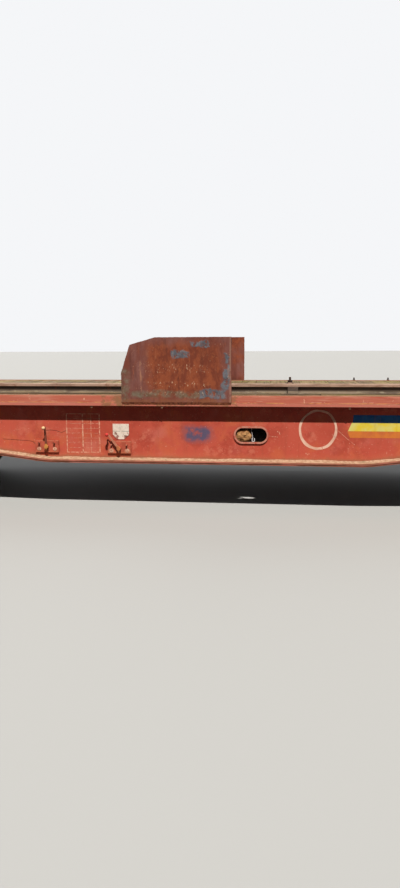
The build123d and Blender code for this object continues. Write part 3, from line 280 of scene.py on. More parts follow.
def sillPaint():
    f = Finish("sill red", 0.62)
    x, y, z = f.axis("S"), f.axis("Y"), f.axis("Z")
    cloudy = f.noise(3.6, 5, 0.62)
    f.colour = f.mix(sill["web"], sill["webDeep"], f.blot(0.4, 0.72, 1.3, 3, 0.5) * 0.8)
    f.lay(sill["orange"], cloudy.above(0.5, 0.66) * 0.6)
    f.lay(sill["pink"], f.blot(0.52, 0.74, 2.4, 4, 0.6, shift=(9, 0, 4)) * 0.65)
    deep = f.blot(0.53, 0.64, 2.0, 5, 0.7, shift=(1, 2, 6))
    f.lay("a84234", deep * 0.55)
    f.lay("d87c64", f.blot(0.56, 0.68, 6.5, 6, 0.72, shift=(4, 4, 1)) * 0.55)
    # faint wash streaks down the web
    streak = f.blot(0.5, 0.8, 15, 4, 0.6, (1, 1, 0.1))
    f.lay("a84e3a", streak * 0.4)
    # the member's face is paler, brushed along its length
    member = z.above(sill["memberLow"] - 0.004, sill["memberLow"]) * y.size().above(1.35, 1.38)
    along = f.noise(6, 5, 0.65, (0.35, 1, 5))
    faded = f.mix(sill["member"], sill["memberPale"], along.above(0.46, 0.68))
    scuffed = f.blot(0.52, 0.7, 9, 5, 0.65, (0.3, 1, 3), (3, 0, 8))
    faded = f.mix(faded, sill["memberDeep"], scuffed * 0.8)
    lip = z.above(sill["lipTop"] + 0.001, sill["lipTop"] - 0.002)
    faded = f.mix(faded, "cc7666", lip * 0.75)
    # a pale dashed line just over the lip, and a dark crack under it in places
    line = (z - (sill["lipTop"] + 0.0045)).size().above(0.006, 0.003)
    dashes = f.blot(0.44, 0.56, 3.2, 4, 0.7, (1, 0, 0), (1, 0, 0))
    faded = f.mix(faded, sill["stepLine"], line * dashes * 0.85)
    crack = (z - (sill["lipTop"] - 0.002)).size().above(0.004, 0.002)
    faded = f.mix(faded, "602c22", crack * f.blot(0.5, 0.6, 2.6, 4, 0.7, (1, 0, 0), (8, 0, 0)) * 0.8)
    # dirt of the container's foot on the member
    foot = f.patch(*sill["footDirt"]) * f.blot(0.42, 0.6, 16, 5, 0.7)
    faded = f.mix(faded, "926848", foot * 0.8)
    flakes = f.blot(0.44, 0.58, 14, 6, 0.72, shift=(0, 4, 7)) * x.above(-1.06, -0.92) * x.above(-0.6, -0.85)
    faded = f.mix(faded, "966c4e", flakes * 0.75)
    f.lay(faded, member)
    # rust: specks everywhere, wider on the member's edges
    spots = f.blot(0.67, 0.71, 60, 3, 0.6)
    eaten = f.blot(0.66, 0.70, 13, 6, 0.72, shift=(3, 1, 5))
    bare = f.edges(0.004) * f.blot(0.45, 0.6, 24, 4, 0.6, shift=(7, 7, 2)) * 0.7
    rusty = (spots * 0.7 + eaten * 0.6).most(bare).least(1.0)
    f.lay(rustTint(f), rusty * 0.9)
    pale = f.blot(0.69, 0.73, 75, 2, 0.5, shift=(2, 8, 1))
    f.lay("ecc4a8", pale * 0.5)
    # old blue-grey overpaint on the near web
    near = y < 0
    f.lay(sill["smearEdge"], f.patch(*sill["smearRim"]) * near * 0.5)
    f.lay(sill["smear"], f.patch(*sill["smearArea"]) * near * f.blot(0.34, 0.5, 13, 6, 0.7) * 0.85)
    # the opening's collar is rubbed pale
    collar = y.size().above(1.296, 1.300) * x.within(0.33, 0.73, 0.02) * z.above(0.98, 0.96)
    f.lay("d09884", collar * f.blot(0.36, 0.56, 20, 5, 0.65) * 0.7)
    # dust and dirt over the belly's chord
    rise = ((x.size() - sill["flat"]) * sill["slope"]).most(0).least(sill["rise"])
    high = z - rise - sill["low"]
    blown = f.noise(5, 5, 0.65, (1, 1, 0.5), (0, 4, 4))
    web = 1 - member
    f.lay("c46a4e", (high + (blown - 0.5) * 0.12).above(0.13, 0.04) * web * 0.5)
    f.lay(sill["sandDeep"], (high + (blown - 0.5) * 0.10).above(0.070, 0.030) * web * 0.6)
    # the chord: pale sand on top, scuffed red on its edge
    chord = high.above(0.024, 0.0205) * y.size().above(1.291, 1.293)
    top = f.upward(0.5, 0.8)
    sand = f.mix(sill["sand"], sill["sandDeep"], f.blot(0.46, 0.66, 22, 5, 0.65) * 0.7)
    sand = f.mix(sand, sill["moss"], f.blot(0.56, 0.66, 8, 5, 0.7, shift=(6, 2, 2)) * 0.6)
    edge = f.mix("b46c58", "8e5a44", f.blot(0.42, 0.62, 12, 5, 0.65, (0.5, 1, 3)))
    edge = f.mix(edge, "ce7a68", f.blot(0.52, 0.7, 7, 4, 0.6, (0.5, 1, 2), (1, 1, 1)) * 0.8)
    f.lay(f.mix(edge, sand, top), chord)
    # everything else that looks up carries dust; corners and gaps are darkened, painted shade
    shelf = f.mix("8c644e", "68543a", f.blot(0.36, 0.56, 12, 5, 0.65))
    f.lay(shelf, top * (1 - chord) * f.blot(0.1, 0.4, 9, 4, 0.6) * 0.9)
    f.lay("46261e", f.corners(0.12) * 0.5)
    height = cloudy * 0.5 + f.noise(140, 3, 0.6) * 0.2 - rusty * 0.5 + along * member * 0.5
    return f.feed(rough=cloudy * 0.22 + 0.5 + top * 0.2, normal=f.bump(height, 0.0016))


# the container's rust; an area is x0, x1, z0, z1 in metres, how ragged and soft its edge is, the grain of that
# edge and its shift
rust = {
    "orange": "964e32", "orangeDeep": "7a3c2a", "brown": "7a463c", "purple": "885850",
    "blue": "707880", "blueDeep": "545c64", "grey": "7c7260", "seam": "cea88e",
    "blueAreas": [
        (-0.340, -0.145, 1.680, 1.768), (-0.13, 0.07, 1.805, 1.868), (0.252, 0.284, 1.50, 1.735),
        (0.215, 0.284, 1.33, 1.56), (-0.04, 0.245, 1.258, 1.345),
    ],
    "orangeArea": (-0.60, 0.215, 1.26, 1.845, 0.05, 0.06, 5),
    "farBlue": (-0.245, -0.15, 1.29, 1.67, 0.012, 0.01, 12, 4),
    "greyStrip": (-0.86, -0.03, 1.262, 1.330, 0.03, 0.022, 8, 1),
    "greyCorner": (-0.95, -0.825, 1.18, 1.56, 0.05, 0.05, 6, 6),
    "chipRows": ((1.575, 0.045), (1.405, 0.03), (1.305, 0.018)), "plateY": 1.404,
    "foot": (1.255, 1.225), "seamX": 0.300,
}


def containerRust():
    f = Finish("container rust", 0.82)
    x, y, z = f.axis("X"), f.axis("Y"), f.axis("Z")
    fine = f.noise(42, 6, 0.7)
    grains = f.noise(16, 6, 0.68, (1, 1, 0.6))
    runs = f.noise(13, 5, 0.65, (1, 1, 0.12))
    orange = f.mix(rust["orangeDeep"], rust["orange"], grains.above(0.38, 0.62))
    orange = f.mix(orange, "bc7042", f.blot(0.56, 0.72, 7, 5, 0.7, shift=(2, 2, 9)) * 0.7)
    brown = f.mix(rust["brown"], rust["purple"], f.blot(0.4, 0.62, 5, 4, 0.6, (1, 1, 0.4)))
    washed = f.blot(0.5, 0.68, 11, 5, 0.65, (1, 1, 0.3), (4, 4, 0))
    brown = f.mix(brown, rust["orangeDeep"], washed * 0.5)
    side = y.size() > rust["plateY"]
    near = (y < 0) * side
    # on the plates the middle is orange, the top band and the left part are brown
    middle = f.patch(*rust["orangeArea"])
    away = f.blot(0.42, 0.58, 1.7, 4, 0.6, shift=(8, 3, 1))
    f.colour = f.mix(brown, orange, middle * near + away * (1 - near))
    f.lay("542e26", runs.above(0.52, 0.74) * 0.55)
    f.lay("ac603e", f.blot(0.58, 0.72, 24, 5, 0.7, (1, 1, 0.2), (6, 0, 3)) * 0.5)
    # blue-grey paint that is left, with a rust-eaten edge
    left = None
    for number, area in enumerate(rust["blueAreas"]):
        mask = f.patch(*area, 0.032, 0.012, 9, number * 2.3)
        left = mask if left is None else left.most(mask)
    left = left * near
    inner = f.patch(*rust["farBlue"]) * (y > 0) * side
    loose = f.blot(0.60, 0.64, 2.1, 5, 0.68, shift=(1, 7, 3)) * (1 - near)
    holes = f.blot(0.40, 0.50, 17, 6, 0.72, (1, 1, 0.7), (0, 3, 0))
    left = (left.most(inner).most(loose) * holes).least(1.0)
    blue = f.mix(rust["blue"], rust["blueDeep"], f.blot(0.4, 0.65, 10, 4, 0.6))
    blue = f.mix(blue, "969692", f.blot(0.56, 0.7, 20, 4, 0.6, shift=(5, 5, 5)) * 0.6)
    f.lay(blue, left * 0.88)
    # grey, washed low strip and left corner
    strip = f.patch(*rust["greyStrip"]).most(f.patch(*rust["greyCorner"])) * near
    strip = strip * f.blot(0.34, 0.56, 12, 6, 0.7, shift=(6, 1, 2))
    grey = f.mix(rust["grey"], "685440", f.blot(0.42, 0.62, 18, 5, 0.65))
    grey = f.mix(grey, "969484", f.blot(0.60, 0.68, 55, 3, 0.6) * 0.7)
    f.lay(grey, strip * 0.8)
    low = z.above(*rust["foot"]) * side
    f.lay("8c5638", low * grains.above(0.3, 0.6) * 0.7)
    # pale flecks where old white paint has nearly gone
    flecks = f.blot(0.65, 0.70, 90, 2, 0.5, (1, 1, 0.7))
    flecks = flecks * f.blot(0.5, 0.62, 6, 3, 0.6, (1, 1, 2.2), (3, 3, 3))
    f.lay("dcb08c", flecks * near * 0.5)
    # drips and remnants of a worn pale paint
    drips = f.blot(0.585, 0.66, 24, 5, 0.7, (1, 1, 0.10), (2, 0, 5))
    drips = drips * f.blot(0.46, 0.6, 4, 4, 0.6, shift=(1, 8, 2))
    f.lay("c48a68", drips * near * z.above(1.80, 1.70) * z.above(1.27, 1.32) * 0.5)
    for height, half in rust["chipRows"]:
        band = (z - height).size().above(half + 0.01, half - 0.01)
        band = band * x.above(-0.66, -0.6) * x.above(0.12, 0.02)
        chips = f.blot(0.60, 0.66, 62, 4, 0.62, (1, 1, 0.55), (0, height, 0))
        f.lay("e2ba98", band * chips * near * 0.7)
    # pale line along the right edge
    seam = (x - rust["seamX"]).size().above(0.011, 0.004) * near * f.blot(0.36, 0.5, 5, 4, 0.7, (0, 0, 1))
    f.lay(rust["seam"], seam * 0.28)
    worn = f.edges(0.004)
    f.lay("ba8060", worn * fine.above(0.45, 0.6) * 0.6)
    # painted shade: darker in corners and gaps
    f.lay("34201b", f.corners(0.10) * 0.55)
    f.lay(dustPale, f.upward(0.5, 0.9) * f.blot(0.3, 0.6, 8, 4, 0.6) * 0.7)
    f.lay("422820", fine.above(0.60, 0.74) * 0.6)
    height = grains * 0.5 + fine * 0.35 + left * 0.5
    return f.feed(rough=0.66 + fine * 0.3 - left * 0.1, normal=f.bump(height, 0.003))


def boardWood():
    # the boards' own UV map runs along each board, in metres; attribute "tint" differs from board to board
    f = Finish("deck boards", 0.9)
    line = f.node("ShaderNodeUVMap", {"uv_map": "grain"}, {})
    tint = f.node("ShaderNodeAttribute", {"attribute_name": "tint"}, {}, "Fac")

    fibres = f.noise(60, 5, 0.65, (0.05, 1, 1), line=line)
    wide = f.noise(14, 4, 0.6, (0.12, 1, 1), twist=0.6, line=line)
    f.colour = f.mix("867254", "685840", wide.above(0.36, 0.64))
    f.lay("98825c", tint.above(0.55, 1.0) * 0.6)
    f.lay("5c4a38", tint.above(0.45, 0.0) * 0.7)
    f.lay("3a3026", fibres.above(0.54, 0.72) * 0.75)
    splits = f.blot(0.66, 0.69, 26, 3, 0.5, (0.03, 1, 1), line=line)
    f.lay("1c1612", splits * 0.9)
    # moss and dry grass dirt, most at the boards' far ends and in the gaps
    mossy = f.noise(2.3, 5, 0.68) + f.corners(0.05) * 0.16 + f.axis("Y").above(0.6, 1.35) * 0.10
    moss = f.mix("8a8048", "626032", f.blot(0.4, 0.6, 30, 4, 0.6))
    f.lay(moss, mossy.above(0.56, 0.68) * f.upward() * 0.8)
    f.lay("96704a", f.blot(0.56, 0.7, 3.3, 5, 0.65, shift=(2, 9, 0)) * f.upward() * 0.55)
    f.lay("c4ac78", f.blot(0.68, 0.72, 120, 2, 0.5) * f.upward() * 0.6)
    # painted shade: darker in the gaps and corners between boards
    f.lay("1e1814", f.corners(0.03) * 0.6)
    height = wide * 0.4 + fibres * 0.5 - splits * 1.2
    return f.feed(rough=0.8 + wide * 0.15, normal=f.bump(height, 0.004))


# heights of the deck-edge beam: its head begins, and the band of web under the head that is darkened, painted
# shadow of the head
beam = {"head": (1.350, 1.362), "headShadowLow": (1.312, 1.322), "headShadowHigh": (1.362, 1.356)}


def railSteel():
    # the deck-edge beam: lilac-grey worn head, grey-brown web and foot
    f = Finish("rail steel", 0.55, shine=0.25)
    z = f.axis("Z")
    along = f.noise(9, 5, 0.65, (0.3, 1, 3))
    fine = f.noise(70, 4, 0.65)
    low = f.mix("7c6c5a", "56483c", along.above(0.4, 0.62))
    low = f.mix(low, "928670", f.blot(0.55, 0.7, 20, 4, 0.6, (0.5, 1, 1)) * 0.7)
    head = f.mix("b29482", "8e7060", along.above(0.42, 0.64))
    head = f.mix(head, "7c5442", f.blot(0.54, 0.68, 14, 5, 0.7, (0.4, 1, 1), (3, 3, 0)) * 0.8)
    f.colour = f.mix(low, head, z.above(*beam["head"]))
    # painted shadow: the web under the head is darkened where the head's shadow falls
    headShadow = z.above(*beam["headShadowLow"]) * z.above(*beam["headShadowHigh"])
    f.lay("2c1e18", headShadow * 0.85)
    f.lay("806c4e", f.upward(0.7, 0.95) * f.blot(0.4, 0.6, 6, 5, 0.65) * 0.7)
    f.lay(rustTint(f, 36), (fine.above(0.58, 0.7) * 0.6).most(f.blot(0.6, 0.68, 5, 6, 0.7) * 0.7))
    f.lay("c4b09c", f.edges(0.003) * fine.above(0.4, 0.55) * 0.45)
    # painted shade: darker in corners
    f.lay("261e1a", f.corners(0.05) * 0.6)
    return f.feed(rough=0.5 + along * 0.25, normal=f.bump(fine * 0.5 + along * 0.5, 0.0015))


# places of the axles: pivot, distance from it, height; radii of the hub's oil, the worn web and the tread
wheel = {
    "pivot": 4.5, "axle": 0.9, "z": 0.49, "oil": (0.20, 0.08), "worn": (0.395, 0.42), "tread": (0.448, 0.452),
}


def wheelSteel():
    # brown rust outside, polished where the tread runs
    f = Finish("wheel steel", 0.7, shine=0.35)
    x, y, z = f.axis("X"), f.axis("Y"), f.axis("Z")
    dx = (x.size() - wheel["pivot"]).size() - wheel["axle"]
    dz = z - wheel["z"]
    reach = (dx * dx + dz * dz) ** 0.5
    mottled = f.noise(9, 5, 0.65)
    fine = f.noise(60, 4, 0.65)
    f.colour = f.mix("705440", "4e3a30", mottled.above(0.4, 0.62))
    f.lay("966c4c", f.blot(0.55, 0.7, 20, 5, 0.7, shift=(4, 4, 4)) * 0.6)
    # oil and brake dust thrown outwards from the hub
    f.lay("2e2622", reach.above(*wheel["oil"]) * 0.7)
    f.lay(rustTint(f, 40), fine.above(0.56, 0.7) * 0.5)
    rim = reach.above(*wheel["tread"]) * f.blot(0.25, 0.4, 18, 4, 0.6)
    flat = f.normalAxis("Y").size().above(0.9, 0.6)
    polish = rim * flat
    worn = reach.above(*wheel["worn"]) * (1 - polish)
    f.lay("92745c", worn * mottled.above(0.35, 0.6) * 0.5)
    f.lay("bab6b0", polish)
    # painted shade: darker in corners
    f.lay("3c2c24", f.corners(0.05) * 0.6)
    return f.feed(rough=0.72 - polish * 0.42, metal=polish * 0.9,
                  normal=f.bump(fine * 0.6 + mottled * 0.4, 0.0015))


# the buffer's middle, and where its head and its front face begin
buffer = {"y": 0.875, "z": 1.09, "head": (6.955, 6.965), "front": (6.975, 6.99)}


def bufferSteel():
    # greasy dark heads with a rubbed middle and a rusty rim
    f = Finish("buffer steel", 0.5, shine=0.5)
    y, z = f.axis("Y"), f.axis("Z")
    dy = y.size() - buffer["y"]
    dz = z - buffer["z"]
    reach = (dy * dy + dz * dz) ** 0.5
    fine = f.noise(50, 4, 0.65)
    wide = f.noise(8, 5, 0.65)
    front = f.axis("X").size().above(*buffer["front"])
    shaft = f.mix("60544a", "3a322c", wide.above(0.4, 0.6))
    head = f.mix("806a58", "5c4636", wide.above(0.42, 0.6))
    head = f.mix(head, rustTint(f, 30), reach.above(0.13, 0.2) * fine.above(0.35, 0.6) * 0.8)
    rubbed = reach.above(0.10, 0.04) * front
    grease = f.blot(0.45, 0.6, 12, 4, 0.6, shift=(3, 2, 1)) * reach.above(0.15, 0.05) * front
    head = f.mix(head, "a8a096", rubbed * 0.7)
    head = f.mix(head, "221e1b", grease * 0.75)
    f.colour = f.mix(shaft, head, f.axis("X").size().above(*buffer["head"]))
    f.lay("967458", f.edges(0.004) * fine.above(0.4, 0.6) * 0.6)
    return f.feed(rough=0.55 - grease * 0.25 + fine * 0.1, metal=rubbed * 0.5,
                  normal=f.bump(fine * 0.6 + wide * 0.4, 0.0012))


# lever units: shaft, knob and labels in the side view, as x and z in metres
leverMarks = {
    "hubs": [(-1.806, 0.685), (-0.962, 0.674)], "knobs": [(-1.813, 0.905), (-1.083, 0.837)],
    "arms": ["7a4232", "c47e64"], "knobColours": ["eec494", "ce403a"],
    "hubColours": ["ce8e48", "c4764c"],
    "labels": [(-1.898, 0.657, 1.0), (-1.714, 0.657, 1.0), (-1.054, 0.646, 1.25), (-0.870, 0.646, 1.25)],
}


def leverPaint():
    f = Finish("lever paint", 0.6)
    y, z = f.axis("Y"), f.axis("Z")
    cloudy = f.noise(12, 5, 0.62)
    f.colour = f.mix("c4604a", "ac523e", cloudy.above(0.4, 0.62))
    f.lay("ce8466", z.above(0.735, 0.76) * f.blot(0.35, 0.55, 20, 4, 0.6) * 0.7)
    f.lay("c47854", z.above(0.665, 0.62) * f.blot(0.35, 0.6, 16, 4, 0.6, shift=(2, 2, 2)) * 0.6)
    rusty = f.blot(0.60, 0.66, 34, 5, 0.7).most(f.edges(0.002) * f.blot(0.42, 0.56, 50, 3, 0.6))
    f.lay(rustTint(f, 50), rusty * 0.75)
    proud = y.size().above(1.3105, 1.312)
    for (x0, z0), (x1, z1), arm, knob, hub in zip(
            leverMarks["hubs"], leverMarks["knobs"], leverMarks["arms"], leverMarks["knobColours"],
            leverMarks["hubColours"]):
        lever = y.size().above(1.333, 1.335) * f.spot((x0 + x1) / 2, (z0 + z1) / 2, 0.17)
        f.lay(f.mix(arm, "7e4634", cloudy.above(0.48, 0.66) * 0.7), lever)
        f.lay(f.mix(hub, "965434", cloudy.above(0.45, 0.7) * 0.6), f.spot(x0, z0, 0.034) * lever)
        f.lay(knob, f.spot(x1, z1, 0.030) * y.size().above(1.352, 1.356))
    for x, z0, wide in leverMarks["labels"]:
        label = f.spot(x, z0, 0.025 * wide, 0.2, 0.8) * proud.most(0.35)
        f.lay("ecbe9e", label * f.blot(0.36, 0.50, 48, 5, 0.7) * 0.9)
        # a faint wear mark in each label's middle
        worn = f.spot(x, z0 - 0.002, 0.010 * wide, 0.5, 1.5) * f.blot(0.36, 0.5, 90, 3, 0.6)
        f.lay("9e5c4c", worn * 0.75)
    # painted shade: darker in corners
    f.lay("3c221c", f.corners(0.03) * 0.6)
    return f.feed(rough=0.5 + cloudy * 0.2, normal=f.bump(cloudy + f.noise(120, 3, 0.6) * 0.4, 0.001))


# marks of the bare data plate in the side view: height of its rule, the worn middle and the rust spots
plateMarks = {
    "rule": 0.866, "smudge": (-0.935, 0.900, 0.060, 0.5, 0.35),
    "rust": [(-1.02, 0.795, 0.055), (-0.865, 0.795, 0.055)], "faintRust": (-0.94, 0.775, 0.04),
}


def plateWhite():
    # a dark rule, worn middle and rust at the lower corners
    f = Finish("plate white", 0.5, shine=0.3)
    z = f.axis("Z")
    cloudy = f.noise(22, 5, 0.65)
    f.colour = f.mix("f0e0d0", "e2cebc", cloudy.above(0.46, 0.66))
    shaky = (f.noise(14, 3, 0.6, (1, 0, 0)) - 0.5) * 0.006
    rule = (z - plateMarks["rule"] - shaky).size().above(0.0045, 0.002)
    f.lay("787c70", rule * f.blot(0.34, 0.5, 30, 3, 0.6) * 0.8)
    smudge = f.spot(*plateMarks["smudge"]) * f.blot(0.45, 0.62, 45, 4, 0.7, (1, 1, 0.4))
    f.lay("b0a89e", smudge * 0.4)
    eaten = f.noise(30, 6, 0.7, shift=(3, 3, 3))
    side = f.spot(*plateMarks["faintRust"], 0.5) * 0.5
    for spot in plateMarks["rust"]:
        side = side.most(f.spot(*spot, 0.5))
    rusty = (eaten + side * 0.24).above(0.66, 0.73)
    f.lay(f.mix("b46454", "6e3c32", cloudy.above(0.45, 0.6)), rusty * 0.9)
    f.lay(rustTint(f, 60), f.edges(0.0015) * eaten.above(0.4, 0.52) * 0.9)
    return f.feed(rough=0.42 + rusty * 0.35, normal=f.bump(cloudy - rusty, 0.0008))


def paintMark(name, first, second, worn, scale, under):
    # brushed paint: worn places show the red below
    f = Finish(name, 0.6)
    cloudy = f.noise(7, 4, 0.6)
    f.colour = f.mix(first, second, cloudy.above(0.42, 0.64))
    gone = f.blot(worn, worn + 0.05, scale, 6, 0.72, shift=(2, 0, 6))
    f.lay(under, gone * 0.9)
    streak = f.blot(0.55, 0.8, 15, 4, 0.6, (1, 1, 0.1))
    f.lay("965442", streak * 0.25)
    return f.feed(rough=0.5 + cloudy * 0.2, normal=f.bump(f.noise(90, 3, 0.6), 0.0005))


def looseDirt(name, first, second, third, scale):
    f = Finish(name, 0.95)
    lumps = f.noise(scale, 6, 0.7)
    f.colour = f.mix(first, second, lumps.above(0.4, 0.62))
    f.lay(third, f.blot(0.56, 0.68, scale * 0.35, 5, 0.7, shift=(5, 1, 1)) * 0.8)
    # painted shade: darker in crevices between lumps
    f.lay("3e2e22", f.corners(0.02) * 0.6)
    return f.feed(rough=lumps * 0.1 + 0.85, normal=f.bump(lumps, 0.006))


# brushed paints: two tones, the level where they are worn away, the wear's grain and what shows below
brushed = {
    "chalk paint": ("f0c4ac", "e2ac92", 0.60, 26, "c65e4a"),
    "rule paint": ("e8ac90", "d89276", 0.50, 34, "c65e4a"),
    "stripe blue": ("2e6ea8", "225c96", 0.68, 26, "c65e4a"),
    "stripe yellow": ("e8cc3e", "e2d678", 0.66, 26, "c65e4a"),
    "stripe orange": ("da7c38", "ce6e3c", 0.68, 26, "c65e4a"),
    "crack brown": ("602820", "78362a", 0.60, 30, "c65e4a"),
    "zinc": ("cec8c8", "a8a0a0", 0.66, 26, "785c50"),
}
# loose dirt: three tones and the grain
looseTones = {
    "chord dirt": ("bc9e82", "9e795f", "8a7a5c", 30), "clay": ("ba8c5c", "865836", "543624", 26),
    "gap dirt": ("766648", "5c5038", "7c7442", 30), "rust scale": ("96563a", "703e2c", "b27654", 40),
}
finishes = {name: steelPaint(name, *row) for name, row in paints.items()}
finishes.update({name: paintMark(name, *row) for name, row in brushed.items()})
finishes.update({name: looseDirt(name, *row) for name, row in looseTones.items()})
finishes.update({
    "sill red": sillPaint(), "container rust": containerRust(), "deck boards": boardWood(),
    "rail steel": railSteel(),
    "wheel steel": wheelSteel(), "buffer steel": bufferSteel(), "lever paint": leverPaint(),
    "plate white": plateWhite(),
})

nodeFinish = {
    "side_sill_near": "sill red", "side_sill_far": "sill red", "web_window_near": "sill red",
    "web_window_far": "sill red", "lashing_lugs": "lug pale painted lit",
    "headstock_a": "end red", "headstock_b": "end red",
    "changeover_levers_near": "lever paint", "changeover_levers_far": "lever paint",
    "center_sill": "frame red", "cross_bearers": "frame red", "floor_stringers": "frame red",
    "body_bolster_a": "frame red", "body_bolster_b": "frame red",
    "deck_planks": "deck boards", "deck_edge_beam": "rail steel", "beam_clamps": "rail steel",
    "data_plates": "plate white", "buffer_plungers_a": "buffer steel", "buffer_plungers_b": "buffer steel",
}
stemFinish = {
    "container": "container rust", "buffer": "gear black", "bogie": "bogie brown",
    "springs": "bogie brown", "wheelset": "wheel steel",
    **dict.fromkeys(("draw", "screw", "axleboxes", "center", "side", "distributor"), "castings brown"),
}


def finishOf(name):
    return nodeFinish.get(name) or stemFinish.get(name.split("_")[0], "gear black")


for name, obj in nodes.items():
    for slot in obj.material_slots:
        slot.material = finishes[finishOf(name)]
    if not obj.material_slots:
        obj.data.materials.append(finishes[finishOf(name)])
print("finishes given")


paintFilm = 0.0005


def rounded(bm, lines, width):
    bmesh.ops.bevel(bm, geom=lines, offset=width, segments=2, profile=0.5, affect="EDGES", material=-1)


class Shape:
    # one piece in the making
    def __init__(self):
        self.bm = bmesh.new()

    def box(self, low, high, edge):
        made = bmesh.ops.create_cube(self.bm, size=1)["verts"]
        low, high = Vector(low), Vector(high)
        for vert in made:
            vert.co = (low + high) / 2 + vert.co * (high - low)
        rounded(self.bm, list({line for vert in made for line in vert.link_edges}), edge)

    def grid(self, across, up, place):
        # a sheet of cells; place gives each corner's spot from its shares of both ways, 0 to 1
        made = bmesh.ops.create_grid(self.bm, x_segments=across, y_segments=up, size=1)["verts"]
        for vert in made:
            vert.co = place((vert.co.x + 1) / 2, (vert.co.y + 1) / 2)
        return list({face for vert in made for face in vert.link_faces})

    def rod(self, start, end, radius, sides=14, tip=None, edge=0.0):
        start, end = Vector(start), Vector(end)
        line = end - start
        turn = line.to_track_quat("Z", "Y").to_matrix().to_4x4()
        made = bmesh.ops.create_cone(
            self.bm, cap_ends=True, segments=sides, radius1=radius, radius2=radius if tip is None else tip,
            depth=line.length, matrix=Matrix.Translation((start + end) / 2) @ turn)["verts"]
        if edge:
            rims = [line for vert in made for line in vert.link_edges
                    if len(line.link_faces) == 2 and min(len(face.verts) for face in line.link_faces) == 4
                    and max(len(face.verts) for face in line.link_faces) > 4]
            rounded(self.bm, list(set(rims)), edge)

    def ball(self, place, radius, levels, scale):
        made = bmesh.ops.create_icosphere(self.bm, subdivisions=levels, radius=radius)["verts"]
        for vert in made:
            vert.co = Vector(place) + vert.co * Vector(scale)
        return made

    def bolt(self, place, axis, size, stud=True):
        # hexagon head or nut, with a washer under it and a stud end over it
        place, axis = Vector(place), Vector(axis) * size
        self.rod(place, place + axis * 0.18, size * 1.45, 12)
        self.rod(place, place + axis * 0.85, size, 6)
        if stud:
            self.rod(place + axis * 0.8, place + axis * 1.3, size * 0.52, 8)

    def stack(self, root, rows):
        # upright rods over one root
        for low, high, radius, sides, edge in rows:
            self.rod(root + Vector((0, 0, low)), root + Vector((0, 0, high)), radius, sides, edge=edge)

    def tube(self, points, radius, closed=False):
        line = bpy.data.curves.new("line", "CURVE")
        line.dimensions = "3D"
        spline = line.splines.new("POLY")
        spline.points.add(len(points) - 1)
        for point, place in zip(spline.points, points):
            point.co = (*place, 1)
        spline.use_cyclic_u = closed
        line.bevel_depth = radius
        line.bevel_resolution = 1
        line.use_fill_caps = not closed
        holder = bpy.data.objects.new("line", line)
        mesh = bpy.data.meshes.new_from_object(holder)
        self.bm.from_mesh(mesh)
        bpy.data.objects.remove(holder)
        bpy.data.curves.remove(line)
        bpy.data.meshes.remove(mesh)

    def ribbon(self, points, width, face, steps, wobble, seed):
        # a painted line in the side view: points are (x, z), face is the y that it lies on
        dense = []
        for (x0, z0), (x1, z1) in zip(points, points[1:]):
            start, step = Vector((x0, 0, z0)), Vector(((x1 - x0) / steps, 0, (z1 - z0) / steps))
            dense += [start + step * k for k in range(steps)]
        dense.append(Vector((points[-1][0], 0, points[-1][1])))
        last = len(dense) - 1

        def place(u, v):
            k = round(u * last)
            ahead = (dense[min(k + 1, last)] - dense[max(k - 1, 0)]).normalized()
            side = 1 if v > 0.5 else -1
            wide = width / 2 * (1 + wobble * noise.noise(Vector((k * 0.9, seed, side))))
            at = dense[k] + Vector((-ahead.z, 0, ahead.x)) * wide * side
            return at.x, face, at.z
        self.thicken(self.grid(last, 1, place), (0, -paintFilm, 0))

    def sheet(self, corners, face, steps):
        # a painted area: four corners (x, z), in order round it
        a, b, c, d = (Vector((x, face, z)) for x, z in corners)
        faces = self.grid(steps, 1, lambda u, v: (a * (1 - u) + b * u) * (1 - v) + (d * (1 - u) + c * u) * v)
        self.thicken(faces, (0, -paintFilm, 0))

    def thicken(self, faces, push):
        # a thin sheet becomes a closed solid, pushed along one direction
        made = bmesh.ops.extrude_face_region(self.bm, geom=faces)["geom"]
        outer = [item for item in made if isinstance(item, bmesh.types.BMVert)]
        bmesh.ops.translate(self.bm, verts=outer, vec=push)

    def andTurned(self):
        # the same again on the other side and at the other end
        whole = self.bm.verts[:] + self.bm.edges[:] + self.bm.faces[:]
        copy = bmesh.ops.duplicate(self.bm, geom=whole)["geom"]
        verts = [item for item in copy if isinstance(item, bmesh.types.BMVert)]
        bmesh.ops.rotate(self.bm, verts=verts, cent=(0, 0, 0), matrix=Matrix.Rotation(pi, 3, "Z"))

    def done(self, name, finish, body="wagon", slot="red_paint", stands=(), angle=38):
        bmesh.ops.recalc_face_normals(self.bm, faces=self.bm.faces[:])
        for face in self.bm.faces:
            face.smooth = True
        for line in self.bm.edges:
            if not line.is_manifold or line.calc_face_angle(0) > radians(angle):
                line.smooth = False
        mesh = bpy.data.meshes.new(name)
        self.bm.to_mesh(mesh)
        self.bm.free()
        if "custom_normal" in mesh.attributes:
            mesh.attributes.remove(mesh.attributes["custom_normal"])
        piece = bpy.data.objects.new(name, mesh)
        bpy.context.scene.collection.objects.link(piece)
        mesh.materials.append(finishes[finish])
        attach(piece, body)
        if stands:
            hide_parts(*stands)
        return piece


bodyOf = {node: body for body, members in frame["record"]["behaviour"]["bodies"].items() for node in members}
slotOf = {row["node"]: row["material_slot"] for row in frame["record"]["subparts"]}


def copyOf(name):
    # a CAD node's loose triangles, merged to one skin in a shape of its own
    shape = Shape()
    shape.bm.from_mesh(nodes[name].data)
    bmesh.ops.remove_doubles(shape.bm, verts=shape.bm.verts[:], dist=0.00002)
    return shape


